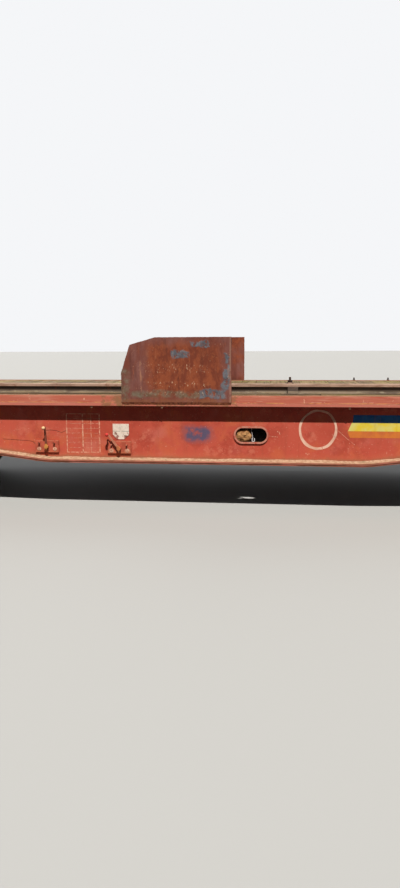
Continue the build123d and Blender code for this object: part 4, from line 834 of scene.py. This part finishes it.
# turned and cast pieces get a skin that shades round
castNodes = {
    "names": ["wheelset_a1", "wheelset_a2", "wheelset_b1", "wheelset_b2", "air_reservoir", "brake_cylinder",
              "grab_handles", "brake_pipe", "distributor_valve"],
    "pairs": ["buffer_cases", "buffer_plungers", "draw_hook", "screw_coupling", "axleboxes", "center_bowl"],
    "angle": 34,
}


def smoothCastings():
    names = castNodes["names"] + [stem + "_" + end for stem in castNodes["pairs"] for end in "ab"]
    for name in names:
        copyOf(name).done("smooth_" + name, finishOf(name), bodyOf[name], slotOf[name], (name,),
                          castNodes["angle"])
    print("castings smoothed:", len(names))


smoothCastings()

# painted marks of the web; lettering and figures are left off
marks = {
    "face": -1.2902, "ring": (1.254, 0.9050, 0.1955, 0.2085), "ringLine": 0.031, "ringSteps": 96,
    "stripes": [
        ("stripe blue", [(1.621, 0.985), (3.58, 0.985), (3.56, 1.070), (1.628, 1.070)]),
        ("stripe yellow", [(1.573, 0.893), (3.63, 0.893), (3.585, 0.984), (1.612, 0.984)]),
        ("stripe orange", [(1.597, 0.821), (3.60, 0.821), (3.632, 0.892), (1.566, 0.892)]),
    ],
    "tableColumns": [(-1.573, 0.010), (-1.386, 0.013), (-1.290, 0.006), (-1.191, 0.012)],
    "tableLow": 0.6185, "tableHigh": 1.060, "tableRows": 8, "tableLean": 0.002,
    "cracks": [
        [(-2.336, 0.762), (-2.23, 0.757), (-2.140, 0.750), (-2.031, 0.746), (-1.975, 0.735), (-1.952, 0.712)],
        [(-1.819, 0.869), (-1.76, 0.871), (-1.699, 0.867), (-1.66, 0.852), (-1.633, 0.844), (-1.60, 0.860),
         (-1.579, 0.866)],
    ],
    "scratches": [
        [(1.452, 0.908), (1.50, 0.868), (1.56, 0.815), (1.652, 0.742)], [(1.40, 0.86), (1.47, 0.80)],
        [(0.722, 0.829), (0.77, 0.824), (0.818, 0.819)],
    ],
    "memberFace": -1.4003, "flecks": [
        (-1.955, 1.272, 0.050, 0.008, -60), (-1.950, 1.236, 0.030, 0.009, -40),
        (-1.962, 1.256, 0.026, 0.006, 70),
        (-1.325, 1.238, 0.026, 0.014, 80), (1.093, 1.228, 0.046, 0.010, 92), (1.770, 1.216, 0.130, 0.005, -3),
        (1.715, 1.228, 0.034, 0.009, 100), (1.700, 1.209, 0.090, 0.004, 2), (1.240, 1.214, 0.150, 0.004, 1),
        (0.620, 1.222, 0.080, 0.004, -2), (-2.120, 1.218, 0.060, 0.005, 12),
        (-1.700, 1.214, 0.120, 0.004, -2),
        (2.020, 1.236, 0.028, 0.007, 60), (0.520, 1.208, 0.060, 0.004, 0),
    ],
    "webFlecks": [
        (0.835, 0.862, 0.030, 0.008, 110), (1.153, 0.631, 0.030, 0.012, 10), (1.128, 0.640, 0.014, 0.008, 60),
        (0.815, 0.880, 0.012, 0.008, 40), (-0.430, 0.700, 0.016, 0.006, 30), (-2.10, 0.640, 0.014, 0.007, 0),
    ],
}


def makeMarks():
    face = marks["face"]
    for number, (finish, corners) in enumerate(marks["stripes"]):
        band = Shape()
        band.sheet(corners, face, 12)
        band.andTurned()
        band.done("painted_band_%d" % (number + 1), finish)
    ring = Shape()
    x, z, wide, tall = marks["ring"]

    def brushed(u, v):
        way = Vector((cos(u * 2 * pi), 0, sin(u * 2 * pi)))
        uneven = 1 + 0.035 * noise.noise(way * 1.7)
        line = marks["ringLine"] * (0.88 + 0.25 * noise.noise(way * 2.3 + Vector((4, 0, 0))) - 0.12 * way.z)
        out = (v - 0.5) * line
        return x + (wide * uneven + out) * way.x, face, z + (tall * uneven + out) * way.z
    ring.grid(marks["ringSteps"], 1, brushed)
    bmesh.ops.remove_doubles(ring.bm, verts=ring.bm.verts[:], dist=0.0005)
    ring.thicken(ring.bm.faces[:], (0, -paintFilm, 0))
    ring.andTurned()
    ring.done("painted_ring", "chalk paint")
    rules = Shape()
    low, high = marks["tableLow"], marks["tableHigh"]
    columns, rows = marks["tableColumns"], marks["tableRows"]
    for x, wide in columns:
        rules.ribbon([(x, low), (x + marks["tableLean"], high)], wide, face, 14, 0.5, x)
    left, right = columns[0][0], columns[-1][0]
    rules.ribbon([(left, low), (right, low + marks["tableLean"])], 0.010, face, 16, 0.6, 2)
    rules.ribbon([(left, high), (right, high)], 0.008, face, 16, 0.6, 5)
    for row in range(1, rows):
        z = low + (high - low) * row / rows
        rules.ribbon([(left, z), (right, z)], 0.0028, face, 20, 1.2, row)
    rules.andTurned()
    rules.done("painted_rules", "rule paint")
    dark = Shape()
    for number, line in enumerate(marks["cracks"]):
        dark.ribbon(line, 0.0050, face, 5, 1.2, number)
    dark.done("paint_cracks", "crack brown")
    pale = Shape()
    for number, line in enumerate(marks["scratches"]):
        pale.ribbon(line, 0.0042, face, 5, 1.2, number + 3)
    for level, rows in ((marks["memberFace"], marks["flecks"]), (face, marks["webFlecks"])):
        for number, (x, z, long, wide, tilt) in enumerate(rows):
            way = Vector((cos(radians(tilt)), sin(radians(tilt)))) * long / 2
            pale.ribbon([(x - way.x, z - way.y), (x + way.x, z + way.y)], wide, level, 5, 1.6, number)
    pale.done("paint_scratches", "rule paint")
    print("marks painted")


makeMarks()


def bellyTop(x):
    # height of the bottom chord's upper face
    return sill["low"] + sill["chord"] + min(max((abs(x) - sill["flat"]) * sill["slope"], 0), sill["rise"])


# dirt that lies on the chord against the web; rows are the distance from the middle and the height there
dirt = {"half": 6.2, "steps": 420, "sunk": 0.001, "thick": 0.004,
        "rows": [(1.2895, 0.020), (1.300, 0.016), (1.318, 0.010), (1.345, 0.005), (1.377, 0.0012)]}


def makeChordDirt():
    bank = Shape()
    last = len(dirt["rows"]) - 1

    def heaped(u, v):
        x = (2 * u - 1) * dirt["half"]
        y, high = dirt["rows"][round(v * last)]
        uneven = 0.9 + 0.35 * noise.noise(Vector((x * 5, y * 9, 1)))
        uneven += 0.2 * noise.noise(Vector((x * 21, y * 30, 7)))
        return x, -y, bellyTop(x) - dirt["sunk"] + high * max(uneven, 0.1)
    bank.thicken(bank.grid(dirt["steps"], last, heaped), (0, 0, -dirt["thick"]))
    bank.andTurned()
    bank.done("chord_dirt", "chord dirt", angle=80)
    print("dirt laid")


makeChordDirt()

# what sits in the near web's opening
opening = {
    "x": 0.525, "z": 0.839, "half": 0.1725, "radius": 0.078, "rim": 0.019, "face": -1.2905, "bead": 0.0035,
    "clayFrom": -1.302, "clayTo": -1.230,
    "clay": (0.436, -1.266, 0.820), "claySize": (0.092, 0.030, 0.070),
    "lumps": [(0.020, 24), (0.012, 62), (0.006, 150)],
    "bar": [(0.523, -1.2745, 0.935), (0.529, -1.272, 0.88), (0.543, -1.268, 0.80)],
    "clip": [((0.531, -1.286, 0.7605), (0.541, -1.270, 0.803)),
             ((0.556, -1.286, 0.7605), (0.566, -1.270, 0.800)),
             ((0.531, -1.286, 0.7600), (0.566, -1.270, 0.768))],
}


def stadium(grow, y, count=14):
    # points round the opening's outline, grown outwards
    x, z, half, radius = opening["x"], opening["z"], opening["half"], opening["radius"]
    points = []
    for side in (1, -1):
        for k in range(count + 1):
            turn = pi * k / count - pi / 2
            reach = half - radius + (radius + grow) * cos(turn)
            points.append((x + side * reach, y, z + side * (radius + grow) * sin(turn)))
    return points


def makeOpening():
    weld = Shape()
    weld.tube(stadium(opening["rim"] + 0.001, opening["face"]), opening["bead"], True)
    weld.andTurned()
    weld.done("opening_weld", "sill red")
    clay = Shape()
    made = clay.ball(opening["clay"], 1.0, 4, opening["claySize"])
    for vert in made:
        push = sum(deep * noise.noise(vert.co * fine) for deep, fine in opening["lumps"])
        vert.co += (vert.co - Vector(opening["clay"])).normalized() * push
        vert.co.y = min(max(vert.co.y, opening["clayFrom"]), opening["clayTo"])
    clay.done("clay_nest", "clay", angle=60)
    bar = Shape()
    bar.tube(opening["bar"], opening["bead"])
    for low, high in opening["clip"]:
        bar.box(low, high, 0.001)
    bar.done("opening_clip", "zinc")
    print("opening dressed")


makeOpening()

# deck boards: each solid of the CAD deck gets one worn board of its size
boards = {
    "edge": 0.005, "wave": 0.0022, "side": 0.0018, "drop": 0.0030, "end": 0.006, "piece": 0.16,
    "boltRows": (-0.95, -0.5, 0.5, 1.0), "bolt": 0.0095, "boltHigh": 0.0055, "boltSunk": 0.0022,
    "boltStray": 0.02,
    "boltLost": 0.07, "clear": (-0.70, 0.16), "dirtSink": 0.0075, "dirtDepth": 0.012, "dirtLap": 0.002,
}


def solidBoxes(name):
    # low and high corners of each loose solid of a CAD node
    bm = bmesh.new()
    bm.from_mesh(nodes[name].data)
    bmesh.ops.remove_doubles(bm, verts=bm.verts[:], dist=0.00005)
    left = set(bm.verts)
    found = []
    while left:
        stack = [left.pop()]
        group = []
        while stack:
            vert = stack.pop()
            group.append(vert.co.copy())
            for line in vert.link_edges:
                other = line.other_vert(vert)
                if other in left:
                    left.remove(other)
                    stack.append(other)
        low = Vector([min(co[k] for co in group) for k in range(3)])
        high = Vector([max(co[k] for co in group) for k in range(3)])
        found.append((low, high))
    bm.free()
    return sorted(found, key=lambda pair: tuple(round(v, 4) for v in (*pair[0], *pair[1])))


def wornBoard(bm, low, high):
    # one board in a bmesh of its own: rounded edges, waves, worn ends, and its grain laid along it
    grain = bm.loops.layers.uv.new("grain")
    tint = bm.faces.layers.float.new("tint")
    size = high - low
    long = 0 if size.x > size.y else 1
    cross = 1 - long
    top = Vector((high.x, high.y, high.z - random.uniform(0, boards["drop"])))
    for vert in bmesh.ops.create_cube(bm, size=1)["verts"]:
        vert.co = (low + top) / 2 + vert.co * (top - low)
    lengthwise = [e for e in bm.edges if abs(e.verts[0].co[long] - e.verts[1].co[long]) > 0.5]
    bmesh.ops.subdivide_edges(bm, edges=lengthwise, cuts=max(3, int(size[long] / boards["piece"])),
                              use_grid_fill=True)
    sharp = [e for e in bm.edges if e.calc_face_angle(0) > 1.0]
    rounded(bm, sharp, boards["edge"] * random.uniform(0.5, 1.2))
    seed = random.uniform(0, 90)
    shade = random.random()
    for vert in bm.verts:
        up = (vert.co.z - low.z) / size.z
        if up > 0.5:
            wave = noise.noise(Vector((vert.co[long] * 1.9, seed, vert.co[cross] * 8)))
            vert.co.z -= boards["wave"] * abs(wave)
            outward = 1 if vert.co[cross] > (low[cross] + high[cross]) / 2 else -1
            wave = noise.noise(Vector((vert.co[long] * 4, seed + 5, 0)))
            vert.co[cross] -= outward * boards["side"] * abs(wave)
        for limit, inward in ((low[long], 1), (high[long], -1)):
            if abs(vert.co[long] - limit) < 0.01:
                worn = abs(noise.noise(Vector((seed, vert.co[cross] * 30, up * 2))))
                vert.co[long] += inward * boards["end"] * worn
    for face in bm.faces:
        face[tint] = shade
        for loop in face.loops:
            co = loop.vert.co
            loop[grain].uv = (co[long] + seed, co[cross] + co.z + seed * 0.37)
    return long, top.z


def makeBoards():
    random.seed(11)
    deck = Shape()
    heads = []
    carrier = bpy.data.meshes.new("board")
    for low, high in solidBoxes("deck_planks"):
        bm = bmesh.new()
        long, top = wornBoard(bm, low, high)
        bm.to_mesh(carrier)
        bm.free()
        deck.bm.from_mesh(carrier)
        middle = (low.x + high.x) / 2
        if long == 1 and not boards["clear"][0] < middle < boards["clear"][1]:
            for y in boards["boltRows"]:
                if random.random() > boards["boltLost"]:
                    stray = random.uniform(-boards["boltStray"], boards["boltStray"])
                    heads.append(Vector((middle + stray, y, top - boards["boltSunk"])))
    bpy.data.meshes.remove(carrier)
    deck.done("deck_boards", "deck boards", slot="planks", stands=("deck_planks",), angle=50)
    packed = Shape()
    crosswise = [pair for pair in solidBoxes("deck_planks") if pair[1].y - pair[0].y > pair[1].x - pair[0].x]
    for (low, high), (nextLow, _) in zip(crosswise, crosswise[1:]):
        edges = (high.x - boards["dirtLap"], nextLow.x + boards["dirtLap"])

        def sunk(u, v):
            y = low.y + u * (high.y - low.y)
            sink = boards["dirtSink"] * (1 + 0.7 * noise.noise(Vector((high.x * 7, y * 6, 2 * v - 1))))
            return edges[round(v)], y, high.z - sink
        packed.thicken(packed.grid(26, 1, sunk), (0, 0, -boards["dirtDepth"]))
    packed.done("gap_dirt", "gap dirt", slot="planks", angle=80)
    rows = Shape()
    for place in heads:
        rows.rod(place, place + Vector((0, 0, boards["boltHigh"])), boards["bolt"], 8, boards["bolt"] * 0.55)
    rows.done("deck_bolts", "gear black", slot="rail_steel")
    print("boards laid:", len(heads), "bolts")


makeBoards()

# container plates: dented sheet cut to the CAD plate's outline, in metres
plate = {
    "low": (-0.900, 1.206), "high": (0.315, 1.913), "outer": 1.413, "sheet": 0.0078, "dent": 0.0042,
    "ragged": 0.0052,
    "corner": [(-0.900, 1.525), (-0.800, 1.832), (-0.640, 1.880), (-0.514, 1.913)], "cells": (72, 42),
}


def makeContainerPlate(word, side):
    sheet = Shape()
    bm = sheet.bm
    (x0, z0), (x1, z1) = plate["low"], plate["high"]
    sheet.grid(*plate["cells"], lambda u, v: (x0 + u * (x1 - x0), 0, z0 + v * (z1 - z0)))
    for (ax, az), (bx, bz) in zip(plate["corner"], plate["corner"][1:]):
        out = Vector((-(bz - az), 0, bx - ax))
        bmesh.ops.bisect_plane(bm, geom=bm.verts[:] + bm.edges[:] + bm.faces[:], plane_co=(ax, 0, az),
                               plane_no=out, clear_outer=True)
    bmesh.ops.remove_doubles(bm, verts=bm.verts[:], dist=0.0003)
    middle = Vector(((x0 + x1) / 2, 0, (z0 + z1) / 2))
    for vert in bm.verts:
        x, z = vert.co.x, vert.co.z
        if vert.is_boundary:
            eaten = abs(noise.noise(Vector((x * 13, side, z * 13))))
            eaten += 0.6 * abs(noise.noise(Vector((x * 44, side, z * 44))))
            vert.co += (middle - vert.co).normalized() * plate["ragged"] * eaten
        dent = 0.5 + 0.5 * noise.noise(Vector((x * 2.2, side * 3, z * 2.6)))
        dent += 0.30 * noise.noise(Vector((x * 9, side, z * 9)))
        vert.co.y = side * (plate["outer"] - plate["dent"] * min(max(dent, 0), 1))
    sheet.thicken(bm.faces[:], (0, -side * plate["sheet"], 0))
    sheet.done("container_plate_" + word, "container rust", slot="container_steel",
               stands=("container_side_" + word,))


makeContainerPlate("near", -1)
makeContainerPlate("far", 1)
print("container plates made")

# the bin's rim ends under the plate's slanting corner: two points (x, z) of that slant, the rim's low and top
rimTrim = {"from": (-0.690, 1.857), "to": (-0.600, 1.884), "low": 1.843, "top": 1.903}


def makeBinBody():
    body = copyOf("container_body")
    (ax, az), (bx, bz) = rimTrim["from"], rimTrim["to"]
    low, top = rimTrim["low"], rimTrim["top"]
    for vert in body.bm.verts:
        if vert.co.x < bx and vert.co.z > low:
            limit = az + (vert.co.x - ax) / (bx - ax) * (bz - az)
            vert.co.z = low + (vert.co.z - low) / (top - low) * (limit - low)
    body.done("bin_body", "container rust", slot="container_steel", stands=("container_body",))


makeBinBody()

# rust scale under the near plate's foot: x0, x1, then the rows (y, z) of its face
footScale = {
    "x0": -0.893, "x1": 0.309, "steps": 150, "thick": 0.003, "rough": 0.0006, "ragged": 0.0045,
    "rows": [(-1.4128, 1.2085), (-1.4104, 1.1985), (-1.4066, 1.1880), (-1.4043, 1.1795)],
}


def makeFootScale():
    scale = Shape()
    last = len(footScale["rows"]) - 1

    def eaten(u, v):
        x = footScale["x0"] + u * (footScale["x1"] - footScale["x0"])
        row = round(v * last)
        y, z = footScale["rows"][row]
        ragged = noise.noise(Vector((x * 21, row * 3, 4))) + 0.6 * noise.noise(Vector((x * 60, row * 5, 8)))
        return x, y + footScale["rough"] * ragged * (row > 0), z + footScale["ragged"] * ragged * row / last
    scale.thicken(scale.grid(footScale["steps"], last, eaten), (0, footScale["thick"], 0))
    scale.done("foot_scale", "rust scale", slot="container_steel", angle=70)


makeFootScale()

# weld beads of the container's ribs and rim
binWelds = {
    "ends": ((-0.640, -1), (0.090, 1)), "rows": (-0.8, -0.27, 0.27, 0.8), "rib": 0.032, "low": 1.292,
    "step": 0.018,
    "count": 30, "bead": 0.0032, "proud": 0.0015, "wave": 0.0012,
    "inset": 0.004, "sideY": 1.402, "sideLow": 1.30, "sideStep": 0.02, "sideCount": 29, "sideBead": 0.004,
}


def makeContainerWelds():
    welds = Shape()
    for x, out in binWelds["ends"]:
        for side in (-1, 1):
            for y in binWelds["rows"]:
                at = y + side * binWelds["rib"]
                points = [(x + out * binWelds["proud"], at + binWelds["wave"] * sin(k * 2.1),
                           binWelds["low"] + k * binWelds["step"]) for k in range(binWelds["count"])]
                welds.tube(points, binWelds["bead"])
            points = [(x - out * binWelds["inset"], side * binWelds["sideY"],
                       binWelds["sideLow"] + k * binWelds["sideStep"]) for k in range(binWelds["sideCount"])]
            welds.tube(points, binWelds["sideBead"])
    welds.done("container_welds", "container rust", slot="container_steel")


makeContainerWelds()

# nuts and bolts, in metres; an end bolt's row is y, distance over and under the middle, base plate and size;
# a stack's row is a rod's low and high end over its root, radius, sides and edge
fasteners = {
    "endFace": 6.4, "endZ": 1.09,
    "endBolts": [(0.730, 0.125, 0.020, 0.019), (1.020, 0.125, 0.020, 0.019), (0.076, 0.088, 0.018, 0.0152)],
    "rivetY": (-1.18, -0.62, -0.36, 0.36, 0.62, 1.18), "rivetZ": (0.905, 1.225), "rivet": 0.013,
    "boxX": (3.6, 5.4), "boxY": 1.121, "boxZ": 0.49, "boxRing": 0.078, "boxBolt": 0.0085, "boxBolts": 6,
    "clampX": (-5.031, -3.031, 0.945, 2.969, 4.969), "clampYZ": (-1.063, 1.395),
    "washer": ((-0.039, -0.026, -0.004), (0.039, 0.032, 0.010)),
    "clampStack": [(0.0095, 0.037, 0.030, 6, 0), (0.035, 0.070, 0.012, 12, 0)],
    "studX": (1.917, 2.402), "studYZ": (1.375, 1.2785),
    "studStack": [(0, 0.040, 0.011, 10, 0.002), (0, 0.010, 0.0198, 6, 0)],
}


def makeFasteners():
    ends = Shape()
    rivets = Shape()
    for out in (-1, 1):
        for y, off, base, size in fasteners["endBolts"]:
            for side in (-1, 1):
                for up in (-1, 1):
                    place = (out * (fasteners["endFace"] + base), side * y, fasteners["endZ"] + up * off)
                    ends.bolt(place, (out, 0, 0), size)
        for y in fasteners["rivetY"]:
            for z in fasteners["rivetZ"]:
                rivets.ball((out * fasteners["endFace"], y, z), fasteners["rivet"], 2, (0.55, 1, 1))
    ends.done("end_bolts", "gear black", slot="gear_paint", angle=30)
    rivets.done("headstock_rivets", "end red")
    ring, count = fasteners["boxRing"], fasteners["boxBolts"]
    for end, out in (("a", 1), ("b", -1)):
        covers = Shape()
        for x in fasteners["boxX"]:
            for side in (-1, 1):
                for k in range(count):
                    turn = (2 * k + 1) * pi / count
                    place = (out * x + ring * cos(turn), side * fasteners["boxY"],
                             fasteners["boxZ"] + ring * sin(turn))
                    covers.bolt(place, (0, side, 0), fasteners["boxBolt"], stud=False)
        covers.done("axlebox_bolts_" + end, "castings brown", "bogie_" + end, "castings", angle=30)
    clamps = Shape()
    for x in fasteners["clampX"]:
        root = Vector((x, *fasteners["clampYZ"]))
        low, high = fasteners["washer"]
        clamps.box(root + Vector(low), root + Vector(high), 0.002)
        clamps.stack(root, fasteners["clampStack"])
    clamps.done("clamp_nuts", "bolt black", slot="rail_steel", angle=30)
    studs = Shape()
    for x in fasteners["studX"]:
        studs.stack(Vector((x, *fasteners["studYZ"])), fasteners["studStack"])
    studs.done("edge_studs", "bolt black", slot="gear_paint", angle=30)
    print("fasteners set")


makeFasteners()

# coil springs: the wire's radius, turns, steps a turn, and the pad at both ends
coil = {"wire": 0.0145, "turns": 5.0, "steps": 30, "pad": 0.016, "padShare": 0.9}


def makeSprings(end):
    spring = Shape()
    bm = spring.bm
    for low, high in solidBoxes("springs_" + end):
        middle = (low + high) / 2
        radius = (high.x - low.x) / 2 - coil["wire"]
        z0, z1 = low.z + coil["pad"] + coil["wire"], high.z - coil["pad"] - coil["wire"]
        steps = int(coil["turns"] * coil["steps"])
        ring = bmesh.ops.create_circle(bm, segments=9, radius=coil["wire"])["verts"]
        for vert in ring:
            vert.co = Vector((middle.x + radius + vert.co.x, middle.y, z0 + vert.co.y))
        lines = list({line for vert in ring for line in vert.link_edges})
        bmesh.ops.spin(bm, geom=lines, cent=(middle.x, middle.y, 0), axis=(0, 0, 1),
                       dvec=(0, 0, (z1 - z0) / steps), angle=2 * pi * coil["turns"], steps=steps,
                       use_merge=False)
        rims = [line for line in bm.edges if line.is_boundary]
        bmesh.ops.holes_fill(bm, edges=rims, sides=12)
        for z, up in ((low.z, 1), (high.z, -1)):
            spring.rod((middle.x, middle.y, z), (middle.x, middle.y, z + up * coil["pad"]),
                       radius + coil["wire"] * coil["padShare"], 28, edge=0.002)
    spring.done("coil_springs_" + end, "bogie brown", "bogie_" + end, "bogie_paint", ("springs_" + end,))


for end in "ab":
    makeSprings(end)
print("springs wound")


def makeStage():
    # floor and sky look pale to the camera and to shiny paint, and light the part less than they look
    mesh = bpy.data.meshes.new("floor")
    bm = bmesh.new()
    bmesh.ops.create_grid(bm, x_segments=1, y_segments=1, size=light["floorHalf"])
    bm.to_mesh(mesh)
    bm.free()
    floor = bpy.data.objects.new("floor", mesh)
    bpy.context.scene.collection.objects.link(floor)
    f = Finish("floor", 0.9)
    seen = f.node("ShaderNodeLightPath", {}, {}, "Is Camera Ray")
    shine = f.node("ShaderNodeLightPath", {}, {}, "Is Glossy Ray")
    dark = light["ground"]
    f.colour = f.mix((dark, dark, dark * 0.95, 1), light["floorSeen"], seen.most(shine))
    mesh.materials.append(f.feed())
    world = bpy.data.worlds.new("sky")
    bpy.context.scene.world = world
    world.use_nodes = True
    tree = world.node_tree
    back = tree.nodes["Background"]
    path = tree.nodes.new("ShaderNodeLightPath")
    top = tree.nodes.new("ShaderNodeMath")
    top.operation = "MAXIMUM"
    tree.links.new(path.outputs["Is Camera Ray"], top.inputs[0])
    tree.links.new(path.outputs["Is Glossy Ray"], top.inputs[1])
    level = tree.nodes.new("ShaderNodeMapRange")
    level.inputs["To Min"].default_value = light["sky"]
    level.inputs["To Max"].default_value = light["skySeen"]
    tree.links.new(top.outputs[0], level.inputs["Value"])
    tree.links.new(level.outputs[0], back.inputs["Strength"])
    back.inputs["Color"].default_value = light["skyTone"]
    makeSun("key", light["from"], light["strength"], light["softness"], light["sunTone"])
    makeSun("fill", light["fillFrom"], light["fill"], light["fillSoftness"], light["fillTone"])


makeCamera()
makeStage()

bpy.context.scene.view_settings.view_transform = "Standard"
